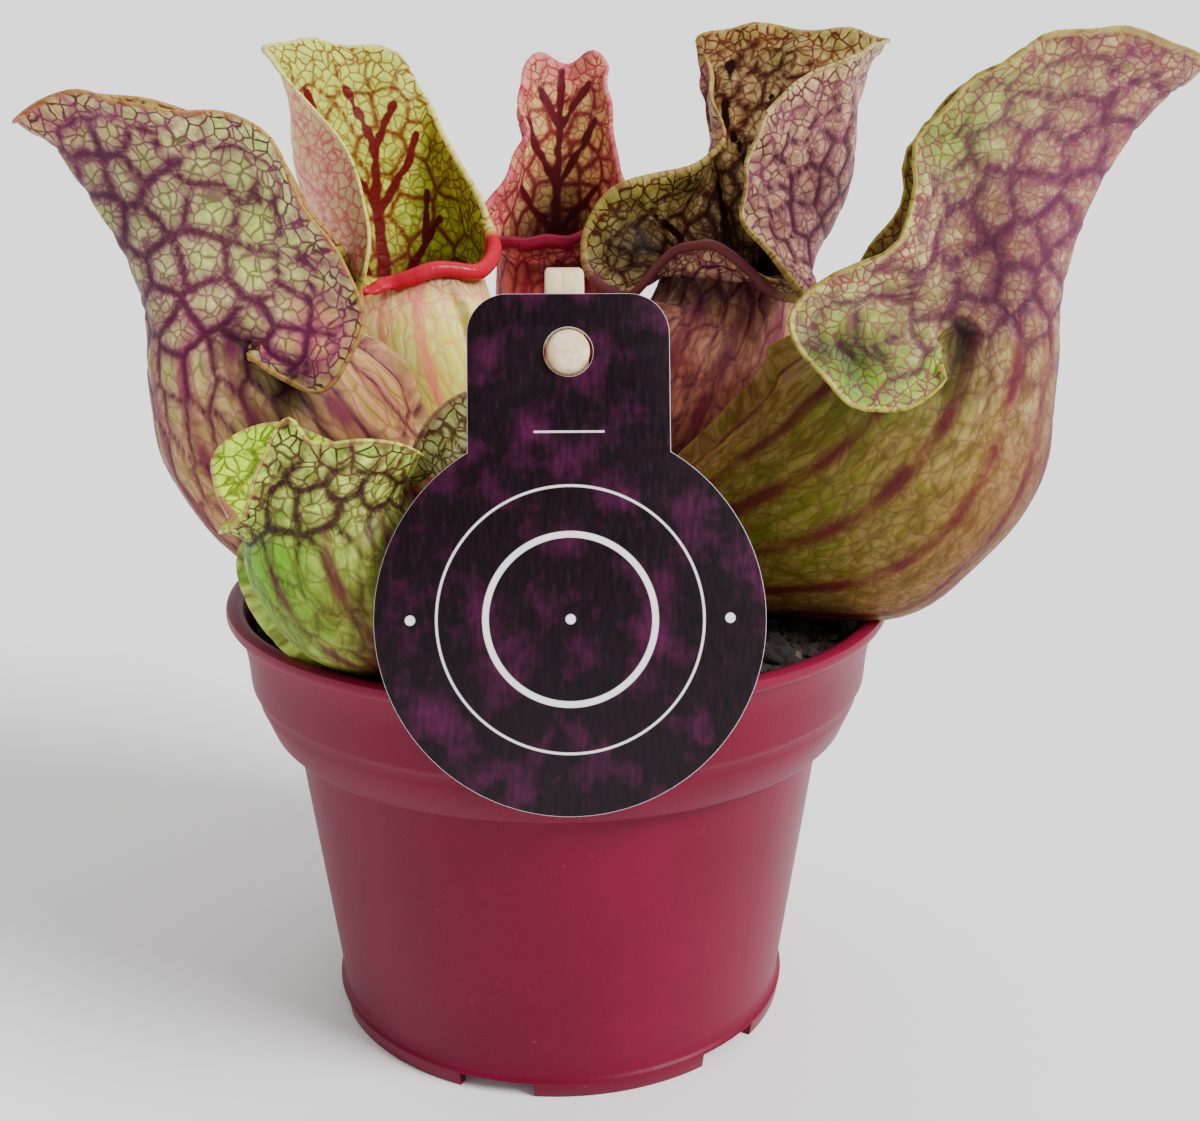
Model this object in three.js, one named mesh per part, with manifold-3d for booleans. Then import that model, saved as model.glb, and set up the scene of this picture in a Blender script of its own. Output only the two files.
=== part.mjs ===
// A young trumpet pitcher plant in its nursery pot: seven hollow pitcher leaves
// grow from one buried rootstock, and a hanging label card leans on the pot's rim.
// Millimetres, +Z up. Each piece is placed from the pot's axis, with the feet at z = 0 and the card
// at the front, -Y. At the end the whole is moved, so that the origin is the middle of its floor space.
import * as THREE from 'three';
import { mergeVertices } from 'three/addons/utils/BufferGeometryUtils.js';
import Module from 'manifold-3d';

const wasm = await Module();
wasm.setup();

// Driving dimensions: the pot
const RIM_RADIUS = 45;
const COLLAR_RADIUS = 41.5;
const TAPER_TOP_RADIUS = 36.7;
const FOOT_RADIUS = 32.2;
const POT_HEIGHT = 60;
const WALL = 0.8;
const FLOOR_HEIGHT = 2.6;
const FOOT_COUNT = 6;
const FOOT_GAP_DEG = 18;
const FOOT_GAP_HEIGHT = 2.05;
const FIRST_GAP_DEG = -105.5;
const DRAIN_COUNT = 8;
const DRAIN_RADIUS = 3;
const DRAIN_CIRCLE = 22;
const POT_SIDES = 40;
const DRAIN_SIDES = 12;

// Driving dimensions: soil, rootstock and clearances
const CLEARANCE = 0.3;
const SOIL_LEVEL = 57.2;
const SOIL_RELIEF = 0.5;
const SOIL_EDGE_DROP = 0.9;
const SOIL_SIDES = 32;
const SOIL_TOP_RINGS = 6;
const CROWN_CENTRE = [0, 0, 54];
const CROWN_RADII = [10.5, 10.5, 8.2];
const CROWN_LUMP = 0.5;
const BRANCH_RADIUS = 3.4;
const ROOT_COUNT = 6;
const ROOT_RADIUS = 1.3;
const ROOT_SPREAD = 20;

// Driving dimensions: the pitcher leaves
const CROWN_HEIGHT = 58;
const LEAF_WALL = 0.9;
const MARGIN_WALL = 0.65;
const WING_HALF_ANGLE = 5;
const WING_EDGE_ANGLE = 1.75;
const WING_START = 0.04;
const MOUTH_TILT_START = 0.6;
const HOOD_REACH = 0.9;

// Driving dimensions: the label card, its peg and its stake
const CARD_THICKNESS = 0.8;
const CARD_DISC_RADIUS = 21.6;
const CARD_X = 1.3;
const CARD_BOTTOM = 48.4;
const CARD_LENGTH = 57.7;
const CARD_NECK_WIDTH = 22.5;
const CARD_CORNER = 4.5;
const CARD_LEAN_DEG = 19;
const CARD_TO_STAKE = 0.4;
const PEG_RADIUS = 2.35;
const PEG_HOLE_RADIUS = 2.75;
const PEG_ALONG_CARD = 51.2;
const PEG_PROUD = 1.4;
const PEG_BEHIND_CARD = 5.5;
const STAKE_WIDTH = 4.3;
const STAKE_X = 0.9;
const STAKE_TOP = 105.6;
const STAKE_BOTTOM = 24;
const STAKE_LEAN_DEG = 1.5;
const STAKE_POINT = 6;
const STAKE_TIP_HALF = 0.6;

const degrees = THREE.MathUtils.degToRad;

// One smooth value list through hand-set rows, evenly spaced along the way
function smoothAlong(rows, t) {
  const last = rows.length - 1;
  const place = Math.min(Math.max(t, 0), 1) * last;
  const i = Math.min(Math.floor(place), last - 1);
  const f = place - i;
  return rows[0].map((_, k) => {
    const b = rows[i][k];
    const c = rows[i + 1][k];
    const a = i > 0 ? rows[i - 1][k] : 2 * b - c;
    const d = i + 1 < last ? rows[i + 2][k] : 2 * c - b;
    const weights = [2 * b, c - a, 2 * a - 5 * b + 4 * c - d, 3 * b - a - 3 * c + d];
    return 0.5 * weights.reduce((sum, weight, power) => sum + weight * f ** power, 0);
  });
}

// The same round a closed outline: each row is [angle in degrees, values...]
function smoothAround(rows, angle) {
  const count = rows.length;
  const row = (i) => {
    const turns = Math.floor(i / count);
    const r = rows[i - turns * count];
    return [r[0] + 360 * turns, ...r.slice(1)];
  };
  let i = 0;
  while (row(i)[0] > angle) i -= 1;
  while (row(i + 1)[0] <= angle) i += 1;
  const [p, a, b, q] = [row(i - 1), row(i), row(i + 1), row(i + 2)];
  const h = b[0] - a[0];
  const f = (angle - a[0]) / h;
  const slope = (u, v, w, k) => {
    const before = (v[k] - u[k]) / (v[0] - u[0]);
    const after = (w[k] - v[k]) / (w[0] - v[0]);
    return (before * (w[0] - v[0]) + after * (v[0] - u[0])) / (w[0] - u[0]);
  };
  const values = [];
  for (let k = 1; k < a.length; k += 1) {
    const f2 = f * f;
    const f3 = f2 * f;
    values.push((2 * f3 - 3 * f2 + 1) * a[k] + (f3 - 2 * f2 + f) * h * slope(p, a, b, k)
      + (3 * f2 - 2 * f3) * b[k] + (f3 - f2) * h * slope(a, b, q, k));
  }
  return values;
}

function vector(x, y, z) {
  return new THREE.Vector3(x, y, z);
}

// Section angles of a leaf: 0 is its back, which rises as the hood, 180 its front, which has the wing
function leafAngles(columns) {
  const angles = [WING_EDGE_ANGLE - 180];
  const step = (360 - 2 * WING_HALF_ANGLE) / (columns - 3);
  for (let i = 0; i < columns - 2; i += 1) angles.push(WING_HALF_ANGLE - 180 + i * step);
  angles.push(180 - WING_EDGE_ANGLE);
  return angles;
}

// Leaf rings in the leaf's own plane: x outwards from the rootstock, y sideways, z up.
// The pitcher's rings follow its body rows, then the hood runs on from the throat to its margin.
function leafRings(leaf, winged) {
  const { columns, bodyRings, hoodRings } = leaf;
  const angles = leafAngles(columns).map(degrees);
  const rings = [];
  let normal = null;
  for (let j = 0; j < bodyRings; j += 1) {
    const t = j / (bodyRings - 1);
    const [r, z, depth, width, aside] = smoothAlong(leaf.body, t);
    const before = smoothAlong(leaf.body, t - 0.001);
    const after = smoothAlong(leaf.body, t + 0.001);
    const tilted = Math.max(0, (t - MOUTH_TILT_START) / (1 - MOUTH_TILT_START));
    const rise = Math.atan2(after[1] - before[1], after[0] - before[0]) + degrees(tilted * leaf.mouthTilt);
    normal = vector(Math.sin(rise), 0, -Math.cos(rise));
    const alongWing = Math.max(0, (t - WING_START) / (1 - WING_START));
    const fin = winged ? leaf.wing * Math.sin(Math.PI * alongWing) ** 0.7 : 0;
    rings.push(angles.map((angle, i) => {
      const edge = i === 0 || i === columns - 1 ? fin : 0;
      return vector(r, aside + width * Math.sin(angle), z)
        .addScaledVector(normal, depth * Math.cos(angle) - edge);
    }));
  }
  const throat = rings[bodyRings - 1];
  const under = rings[bodyRings - 2];
  for (let m = 1; m <= hoodRings; m += 1) {
    const h = m / hoodRings;
    rings.push(angles.map((angle, i) => {
      const deg = THREE.MathUtils.radToDeg(angle);
      const [r, s, z, curl] = smoothAround(leaf.margin, deg);
      const [dr, ds, dz] = smoothAround(leaf.belly, deg);
      const start = throat[i];
      const end = vector(r, s, z);
      const reach = end.distanceTo(start) * HOOD_REACH;
      const out = vector(normal.x * Math.cos(angle), Math.sin(angle), normal.z * Math.cos(angle));
      const leaving = start.clone().sub(under[i]).normalize();
      const arriving = end.clone().sub(start).normalize().addScaledVector(out, curl).normalize();
      const swell = 16 * h * h * (1 - h) * (1 - h);
      return vector(0, 0, 0)
        .addScaledVector(start, 2 * h ** 3 - 3 * h ** 2 + 1)
        .addScaledVector(leaving, (h ** 3 - 2 * h ** 2 + h) * reach)
        .addScaledVector(end, 3 * h ** 2 - 2 * h ** 3)
        .addScaledVector(arriving, (h ** 3 - h ** 2) * reach)
        .add(vector(dr, ds, dz).multiplyScalar(swell));
    }));
  }
  return rings;
}

// The leaf's inner face: each point moved in by the wall, which thins towards the margin
function innerRings(rings, bodyRings) {
  const columns = rings[0].length;
  const last = rings.length - 1;
  return rings.map((ring, j) => ring.map((point, i) => {
    const around = ring[(i + 1) % columns].clone().sub(ring[(i + columns - 1) % columns]);
    const along = rings[Math.min(j + 1, last)][i].clone().sub(rings[Math.max(j - 1, 0)][i]);
    const inward = along.cross(around).normalize();
    const share = Math.max(0, (j - bodyRings) / (last - bodyRings));
    return point.clone().addScaledVector(inward, LEAF_WALL + (MARGIN_WALL - LEAF_WALL) * share);
  }));
}

// A closed skin over rings of points, with a fan over each end. From foldRing on, the rings run back
// down the inside of a leaf, and their squares split along the other diagonal, as on the outside.
function skin(rings, foldRing = rings.length) {
  const columns = rings[0].length;
  const positions = [];
  const faces = [];
  rings.forEach((ring) => ring.forEach((p) => positions.push(p.x, p.y, p.z)));
  for (let j = 0; j < rings.length - 1; j += 1) {
    for (let i = 0; i < columns; i += 1) {
      const a = j * columns + i;
      const b = j * columns + (i + 1) % columns;
      if (j >= foldRing) faces.push(a, b, a + columns, b, b + columns, a + columns);
      else faces.push(a, b, b + columns, a, b + columns, a + columns);
    }
  }
  [0, rings.length - 1].forEach((j) => {
    const centre = rings[j].reduce((sum, p) => sum.add(p), vector(0, 0, 0)).divideScalar(columns);
    const hub = positions.length / 3;
    positions.push(centre.x, centre.y, centre.z);
    for (let i = 0; i < columns; i += 1) {
      const a = j * columns + i;
      const b = j * columns + (i + 1) % columns;
      if (j === 0) faces.push(hub, b, a);
      else faces.push(hub, a, b);
    }
  });
  const geometry = new THREE.BufferGeometry();
  geometry.setAttribute('position', new THREE.Float32BufferAttribute(positions, 3));
  geometry.setIndex(faces);
  return geometry;
}

function toSolid(geometry) {
  const bare = geometry.clone();
  bare.deleteAttribute('normal');
  bare.deleteAttribute('uv');
  const merged = mergeVertices(bare, 1e-4);
  const vertProperties = new Float32Array(merged.attributes.position.array);
  const triVerts = new Uint32Array(merged.index.array);
  return new wasm.Manifold(new wasm.Mesh({ numProp: 3, vertProperties, triVerts }));
}

function toGeometry(solid) {
  const mesh = solid.getMesh();
  const geometry = new THREE.BufferGeometry();
  geometry.setAttribute('position', new THREE.Float32BufferAttribute(mesh.vertProperties, 3));
  geometry.setIndex(Array.from(mesh.triVerts));
  geometry.computeVertexNormals();
  return geometry;
}

function leafSolid(leaf) {
  const outer = leafRings(leaf, true);
  const plain = leafRings(leaf, false);
  const inner = innerRings(plain, leaf.bodyRings).slice(leaf.solidRings).reverse();
  const geometry = skin([...outer, ...inner], outer.length - 1);
  geometry.rotateZ(degrees(leaf.azimuth));
  geometry.translate(...leaf.root);
  return toSolid(geometry);
}

// The seven leaves, each in its own plane. root is where it leaves the rootstock, azimuth the way it leans.
// body rows run up the pitcher: [distance out, height, half depth, half width, shift aside].
// margin rows run round the mouth and hood: [section angle, distance out, sideways, height, outward curl].
// belly rows give how far the hood bows away from a straight run: [section angle, out, sideways, up].
const STRAIGHT = [[-180, 0, 0, 0], [-90, 0, 0, 0], [0, 0, 0, 0], [90, 0, 0, 0]];
const BIG = { columns: 24, bodyRings: 11, hoodRings: 8, solidRings: 2 };
const SMALL = { columns: 20, bodyRings: 9, hoodRings: 6, solidRings: 2 };

const leaves = {
  pitcher_left: {
    ...BIG,
    root: [0, 0, CROWN_HEIGHT],
    azimuth: 186,
    mouthTilt: 0,
    wing: 2,
    colour: 0x86586a,
    body: [[6.5, 2.2, 2, 2, 0], [13, 6.5, 6, 5.6, 0], [23, 12, 10.6, 10, 0], [32, 19, 15.4, 12.5, 0],
      [37.5, 26, 14.8, 12.5, 0], [41, 33, 12, 11, 0], [41.8, 37, 10.6, 9.5, 0]],
    margin: [[-180, 29, 0, 33, 1.5], [-150, 31, -6, 34, 1.2], [-128, 36, -10.5, 35, 0.7],
      [-115, 39.5, -11.5, 35, 0.3], [-103, 35, -14, 31.5, 0.5], [-93, 30, -15.5, 32.5, 0.6],
      [-84, 26, -15.5, 38, 0.6], [-75, 27, -14, 44, 0.5], [-66, 32, -12, 52, 0.4],
      [-55, 36, -12, 60, 0.5], [-40, 46, -12, 64, 0.5], [-20, 57, -8, 66.5, 0.6],
      [0, 65.5, 0, 63.5, 0.8], [20, 57.5, 8, 66.5, 0.6], [40, 46, 12, 64.5, 0.5],
      [55, 35, 13, 62, 0.5], [66, 31, 12.5, 53, 0.4], [77, 25.5, 14, 44, 0.5], [88, 26, 15.5, 37, 0.6],
      [100, 31, 15, 32, 0.5], [113, 38.5, 12, 36, 0.3], [128, 36, 10.5, 35, 0.7], [150, 31, 6, 34, 1.2]],
    belly: STRAIGHT,
  },
  pitcher_back_left: {
    ...BIG,
    root: [0, 0, CROWN_HEIGHT],
    azimuth: 128,
    mouthTilt: 8,
    wing: 2.5,
    colour: 0xb98f5c,
    body: [[6.5, 2.2, 2, 1.8, 0], [14, 8.5, 7, 5.5, 1], [21, 16, 12, 9.5, 2.5], [27, 25, 13.5, 11, 2.5],
      [31.5, 34, 11.2, 10.4, 1], [33.5, 40, 9.2, 9.4, 0]],
    margin: [[-180, 24, 0, 43.5, 1.6], [-150, 24, -4.5, 44, 1.4], [-125, 25.5, -8, 45.5, 0.8],
      [-105, 27.5, -9, 48.8, 0.5], [-85, 30, -8.5, 53, 0.3], [-65, 36, -7.5, 60, 0.2],
      [-40, 41, -7, 67, 0.3], [-20, 44, -5, 72.5, 0.5], [0, 47, 3, 74, 0.5], [20, 46, 11, 74, 0.6],
      [36, 44, 17, 73, 0.8], [55, 34, 18, 68, -0.1], [70, 26, 16, 60, -0.3], [85, 22, 15, 51, -0.3],
      [100, 22.5, 15, 43.5, -0.1], [115, 27, 14, 40, 0.2], [135, 28, 9, 42, 1], [155, 25, 4.5, 43, 1.4]],
    belly: [[-180, 0, 0, 0], [-90, 0, -1, 0], [0, 1, 0, 0], [60, 2, 4, 0], [90, 0, 3, 0], [120, 0, 0, 0]],
  },
  pitcher_back: {
    ...BIG,
    root: [0, 0, CROWN_HEIGHT],
    azimuth: 90,
    mouthTilt: 8,
    wing: 2.5,
    colour: 0xa2485a,
    body: [[6.5, 2.2, 2, 1.8, 0], [18, 8.5, 5.5, 4.6, -0.5], [28, 16, 8.5, 7.4, -0.8],
      [35, 27, 9.3, 8.8, -0.5], [38.5, 36, 8.8, 8.8, 0], [39.5, 42, 8, 8.4, 0]],
    margin: [[-180, 31.5, -0.5, 46.5, 1.5], [-150, 32.5, -5, 47, 1.3], [-125, 34.5, -9.3, 48.5, 0.8],
      [-105, 36.5, -12, 50.5, 0.5], [-85, 38.5, -9.8, 55, 0.1], [-65, 40.5, -8.8, 60, 0],
      [-40, 43.5, -8.3, 67, 0.1], [-20, 47.5, -6.8, 73, 0.4], [-3, 48.5, -2, 71.5, 0.4],
      [15, 47.5, 2.6, 73, 0.4], [38, 43.5, 4.7, 68, 0.1], [60, 40.5, 4.7, 61, 0],
      [80, 38.5, 8, 54, 0.1], [100, 36.5, 10.8, 50, 0.5], [120, 34.5, 10, 46.5, 0.7],
      [145, 32.5, 6, 46, 1.2]],
    belly: STRAIGHT,
  },
  pitcher_back_right: {
    ...BIG,
    root: [0, 0, CROWN_HEIGHT],
    azimuth: 42,
    mouthTilt: 8,
    wing: 2.5,
    colour: 0x7a4a44,
    body: [[6.5, 2.2, 2, 1.8, 0], [14, 8.5, 7.5, 6, 0], [21, 16, 12.3, 10.5, 0], [27, 25, 13.8, 12, 0],
      [32, 34, 11.5, 11, 0], [33.5, 41, 9.4, 9.6, 0]],
    margin: [[-180, 24, -2, 46.5, 1.5], [-150, 25, -8, 46, 1.2], [-128, 28, -14, 41, 0.5],
      [-112, 29, -19, 39.5, 0.3], [-95, 24, -17, 44.8, 0], [-78, 21, -14, 52, -0.2],
      [-62, 22, -14, 59.5, -0.2], [-48, 26, -15.5, 66, -0.2], [-36, 38, -18, 72, 0.2],
      [-22, 53, -12, 74.4, 0.8], [0, 49, 0, 76, 0.5], [14, 48, 6, 76.7, 0.4], [30, 42, 14, 75, 0.5],
      [48, 40, 10, 70.5, 0], [62, 38, 6.5, 66, -0.3], [75, 37, 6, 59, -0.3], [86, 33, 8, 56.5, 0],
      [98, 24, 13, 54, 0.4], [110, 20.5, 15.5, 48.6, 0.6], [125, 19, 14, 42, 0.8],
      [142, 20.5, 8, 39.5, 1], [160, 23, 3, 44, 1.3]],
    belly: [[-180, 0, 0, 0], [-90, 4, -4, 0], [-50, 5, -5, 0], [0, 0, 0, 0], [50, 2, 2, 0], [80, 1, 3, 0],
      [110, 0, 0, 0]],
  },
  pitcher_right: {
    ...BIG,
    root: [0, 0, CROWN_HEIGHT],
    azimuth: -18,
    mouthTilt: 0,
    wing: 3,
    colour: 0x8d6a4e,
    body: [[6.5, 2.2, 2, 2, 0], [17, 8.5, 7.3, 6, 0], [30, 13.5, 13.3, 10.5, 0], [41, 19, 17.3, 13.5, 0],
      [48.5, 27.5, 16, 13, 0], [52, 35, 12, 11, 0], [52.5, 39.5, 10.7, 10, 0]],
    margin: [[-180, 38.5, 0, 34, 1.5], [-150, 41.5, -6.5, 35, 1.2], [-128, 47, -11, 36, 0.7],
      [-115, 51, -12.5, 35.5, 0.3], [-103, 45.5, -15.5, 31.5, 0.5], [-93, 38.5, -17, 33.5, 0.6],
      [-84, 34.2, -17, 40, 0.6], [-75, 36, -15.5, 44.5, 0.5], [-66, 44.5, -13, 50, 0.4],
      [-55, 46.5, -14, 60, 0.5], [-40, 54, -15, 69, 0.5], [-20, 66, -10, 73, 0.6],
      [0, 76.5, 0, 70, 0.8], [20, 66, 9, 73, 0.6], [40, 54, 13, 70, 0.5], [55, 45, 13.5, 62.5, 0.5],
      [66, 42.5, 13, 52, 0.4], [77, 38, 15, 46, 0.5], [88, 36, 16.5, 40, 0.6], [100, 41, 16, 34, 0.5],
      [113, 50, 12.5, 35.5, 0.3], [128, 47, 11, 36, 0.7], [150, 41.5, 6.5, 35, 1.2]],
    belly: STRAIGHT,
  },
  pitcher_front_left: {
    ...SMALL,
    root: [-23, -30.6, CROWN_HEIGHT],
    azimuth: -12,
    mouthTilt: 0,
    wing: 3,
    colour: 0x8fa648,
    body: [[5, 1.5, 2.5, 2.5, 0], [3, 5, 6, 6, 0], [-0.5, 10, 9, 8.7, 0], [-3, 15.5, 10.3, 9.5, 0],
      [-4, 19, 9.5, 9, 0]],
    margin: [[-180, -15.5, 0, 19, 0.6], [-155, -14, -6, 19, 0.5], [-135, -10, -9, 20, 0.3],
      [-118, -6.5, -10, 25, 0.1], [-103, -4, -8.5, 29.5, 0], [-85, 0, -9, 26, 0.1],
      [-60, 5, -8, 25.5, 0], [-30, 8, -5, 25.5, -0.1], [0, 8, 0, 25.5, -0.1], [40, 3, 7, 26, 0.2],
      [75, -5, 9.5, 27.5, 0.5], [105, -13, 9, 28.5, 0.6], [130, -18, 7, 27.5, 0.6],
      [150, -19.5, 4, 24.5, 0.6], [166, -17.5, 1.5, 21, 0.6]],
    belly: STRAIGHT,
  },
  pitcher_front: {
    ...SMALL,
    root: [-8, -12, CROWN_HEIGHT],
    azimuth: 258,
    mouthTilt: 0,
    wing: 2,
    colour: 0xa3a272,
    body: [[0, 0, 2.2, 2.2, 0], [1, 5, 4, 4, 0], [2.5, 11, 5.8, 5.6, 0], [4.5, 17, 6.4, 6, 0],
      [5.5, 22, 5.8, 5.6, 0]],
    margin: [[-180, 0, 0, 26, 1], [-150, 1, -4, 26, 1], [-120, 4, -7.5, 24, 0.5], [-95, 6, -9.5, 20, 0.4],
      [-60, 9, -7.5, 25, 0.3], [-30, 11, -4.5, 29.5, 0.4], [0, 12, 0, 32.5, 0.5],
      [30, 11, 4.5, 32, 0.4], [60, 9, 8, 28, 0.4], [90, 7, 9.5, 24, 0.4], [120, 5, 7.5, 23, 0.5],
      [150, 1, 4, 26, 1]],
    belly: STRAIGHT,
  },
};

const plant = new THREE.Group();

function add(name, solid, colour, roughness) {
  const material = new THREE.MeshStandardMaterial({ color: colour, roughness, metalness: 0 });
  const mesh = new THREE.Mesh(toGeometry(solid), material);
  mesh.name = name;
  plant.add(mesh);
}

// Rootstock: a lumpy knob in the middle of the soil, with a short branch under each of the two
// small front leaves and a ring of roots that spread down through the pot
function ellipsoid(centre, radii, lump, sides) {
  const geometry = new THREE.SphereGeometry(1, sides, sides / 2);
  geometry.rotateX(Math.PI / 2);
  const p = geometry.attributes.position;
  for (let i = 0; i < p.count; i += 1) {
    const [x, y, z] = [p.getX(i), p.getY(i), p.getZ(i)];
    const lumps = Math.sin(5 * Math.atan2(y, x) + 4 * z);
    const swell = lump * Math.sqrt(Math.max(0, 1 - z * z)) * lumps;
    p.setXYZ(i, x * (radii[0] + swell), y * (radii[1] + swell), z * radii[2]);
  }
  geometry.translate(...centre);
  return toSolid(geometry);
}

function tube(points, radius, tipShare, sides, steps) {
  const curve = new THREE.CatmullRomCurve3(points);
  const rings = [];
  for (let j = 0; j <= steps; j += 1) {
    const t = j / steps;
    const along = curve.getTangent(t);
    const side = vector(-along.y, along.x, 0.001).normalize();
    const up = along.clone().cross(side).normalize();
    const reach = radius * (1 - (1 - tipShare) * t);
    const ring = [];
    for (let i = 0; i < sides; i += 1) {
      const turn = 2 * Math.PI * i / sides;
      const point = curve.getPoint(t);
      point.addScaledVector(side, reach * Math.cos(turn));
      point.addScaledVector(up, reach * Math.sin(turn));
      ring.push(point);
    }
    rings.push(ring);
  }
  return toSolid(skin(rings));
}

// A branch runs from the knob to the foot of a small leaf, and ends in a knob of its own there
function branchTo(leaf, grow) {
  const [x, y, z] = leaf.root;
  const [r, lift] = leaf.body[0];
  const turn = degrees(leaf.azimuth);
  const foot = vector(x + r * Math.cos(turn), y + r * Math.sin(turn), z + lift);
  const start = vector(x * 0.2, y * 0.2, CROWN_CENTRE[2]);
  const bend = vector(x * 0.75, y * 0.75, CROWN_CENTRE[2] - 0.5);
  const end = vector(foot.x, foot.y, CROWN_HEIGHT - 2.2);
  const branch = tube([start, bend, end], BRANCH_RADIUS + grow, 0.72, 8, 4);
  const knobRadii = [1, 1, 0.9].map((share) => share * BRANCH_RADIUS + grow);
  return branch.add(ellipsoid([foot.x, foot.y, CROWN_HEIGHT - 1.6], knobRadii, 0, 10));
}

// A root leaves the knob's side, spreads under the surface and turns down along the pot's wall
function root(index, grow) {
  const turn = 2 * Math.PI * (index + 0.35) / ROOT_COUNT;
  const spread = ROOT_SPREAD + 3 * Math.sin(3.1 * index);
  const at = (reach, z, twist) => vector(reach * Math.cos(turn + twist), reach * Math.sin(turn + twist), z);
  const points = [
    at(4, 52, 0), at(0.6 * spread, 44, 0.1), at(spread, 30, 0.35), at(0.9 * spread, 13 - grow, 0.6),
  ];
  return tube(points, ROOT_RADIUS + grow, 0.5 + 0.4 * grow, 5, 6);
}

function rootstock(grow) {
  let solid = ellipsoid(CROWN_CENTRE, CROWN_RADII.map((r) => r + grow), CROWN_LUMP, 18);
  [leaves.pitcher_front_left, leaves.pitcher_front].forEach((leaf) => {
    solid = solid.add(branchTo(leaf, grow));
  });
  for (let i = 0; i < ROOT_COUNT; i += 1) solid = solid.add(root(i, grow));
  return solid;
}

const crownRoom = rootstock(CLEARANCE);
add('crown', rootstock(0), 0x5a3a2a, 0.8);

Object.entries(leaves).forEach(([name, leaf]) => {
  add(name, leafSolid(leaf).subtract(crownRoom), leaf.colour, 0.45);
});

// Pot: one thin moulded wall with a rolled rim, a stepped collar, a taper, a thin ridge at the
// foot, six arc-shaped feet and a ring of drain holes in its floor. Each row is [radius, height].
const collarTop = POT_HEIGHT - 7.3;
const collarFoot = POT_HEIGHT - 12.6;
const taperTop = POT_HEIGHT - 18.6;
const potOutside = [
  [FOOT_RADIUS - 1.3, 0], [FOOT_RADIUS, 0], [FOOT_RADIUS + 0.3, 2.2], [FOOT_RADIUS - 0.3, 2.9],
  [TAPER_TOP_RADIUS, taperTop], [TAPER_TOP_RADIUS + 1.9, taperTop + 0.7],
  [TAPER_TOP_RADIUS + 3.1, taperTop + 1.4], [COLLAR_RADIUS, collarFoot],
  [COLLAR_RADIUS + 0.15, collarFoot + 1.2], [COLLAR_RADIUS + 0.75, collarFoot + 1.7],
  [COLLAR_RADIUS + 1, collarTop], [RIM_RADIUS - 1.6, POT_HEIGHT - 1.8],
  [RIM_RADIUS - 0.4, POT_HEIGHT - 1.7], [RIM_RADIUS, POT_HEIGHT - 1.1],
  [RIM_RADIUS, POT_HEIGHT - 0.5], [RIM_RADIUS - 0.4, POT_HEIGHT],
];
const potInnerWall = [
  [RIM_RADIUS - 2.4, POT_HEIGHT - 0.7], [COLLAR_RADIUS + 1 - WALL, collarTop],
  [COLLAR_RADIUS + 0.6 - WALL, collarFoot + 2.2], [COLLAR_RADIUS - WALL, collarFoot],
  [TAPER_TOP_RADIUS + 2.6 - WALL, taperTop + 2], [TAPER_TOP_RADIUS - WALL, taperTop],
  [FOOT_RADIUS - WALL - 0.2, FLOOR_HEIGHT + WALL],
];
const potInside = [
  [RIM_RADIUS - 1.7, POT_HEIGHT], ...potInnerWall, [0, FLOOR_HEIGHT + WALL], [0, FLOOR_HEIGHT],
  [FOOT_RADIUS - 1.6, FLOOR_HEIGHT],
];

function revolve(profile, segments) {
  const points = profile.map(([r, z]) => new THREE.Vector2(r, z));
  const geometry = new THREE.LatheGeometry([...points, points[0].clone()], segments);
  return toSolid(geometry.rotateX(Math.PI / 2));
}

function footGap(index) {
  const width = 2 * FOOT_RADIUS * Math.tan(degrees(FOOT_GAP_DEG / 2));
  const geometry = new THREE.BoxGeometry(6, width, 2 * FOOT_GAP_HEIGHT);
  geometry.translate(FOOT_RADIUS, 0, 0);
  return toSolid(geometry.rotateZ(degrees(FIRST_GAP_DEG + 360 * index / FOOT_COUNT)));
}

function drainHole(index) {
  const turn = 2 * Math.PI * (index + 0.5) / DRAIN_COUNT;
  const geometry = new THREE.CylinderGeometry(DRAIN_RADIUS, DRAIN_RADIUS, 3 * WALL, DRAIN_SIDES);
  geometry.rotateX(Math.PI / 2);
  geometry.translate(DRAIN_CIRCLE * Math.cos(turn), DRAIN_CIRCLE * Math.sin(turn), FLOOR_HEIGHT + WALL / 2);
  return toSolid(geometry);
}

let pot = revolve([...potOutside, ...potInside], POT_SIDES);
for (let i = 0; i < FOOT_COUNT; i += 1) pot = pot.subtract(footGap(i));
for (let i = 0; i < DRAIN_COUNT; i += 1) pot = pot.subtract(drainHole(i));
add('pot', pot, 0xa13a55, 0.42);

// Label card: a round plastic tag with a square neck, leaning back from the pot's rim to the stake
const lean = degrees(CARD_LEAN_DEG);
const rimToCard = (POT_HEIGHT - CARD_BOTTOM) * Math.tan(lean);
const cardBack = [CARD_X, -(RIM_RADIUS + CLEARANCE) - rimToCard, CARD_BOTTOM];

function cardPlace(geometry) {
  geometry.rotateX(Math.PI / 2 - lean);
  geometry.translate(...cardBack);
  return geometry;
}

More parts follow.
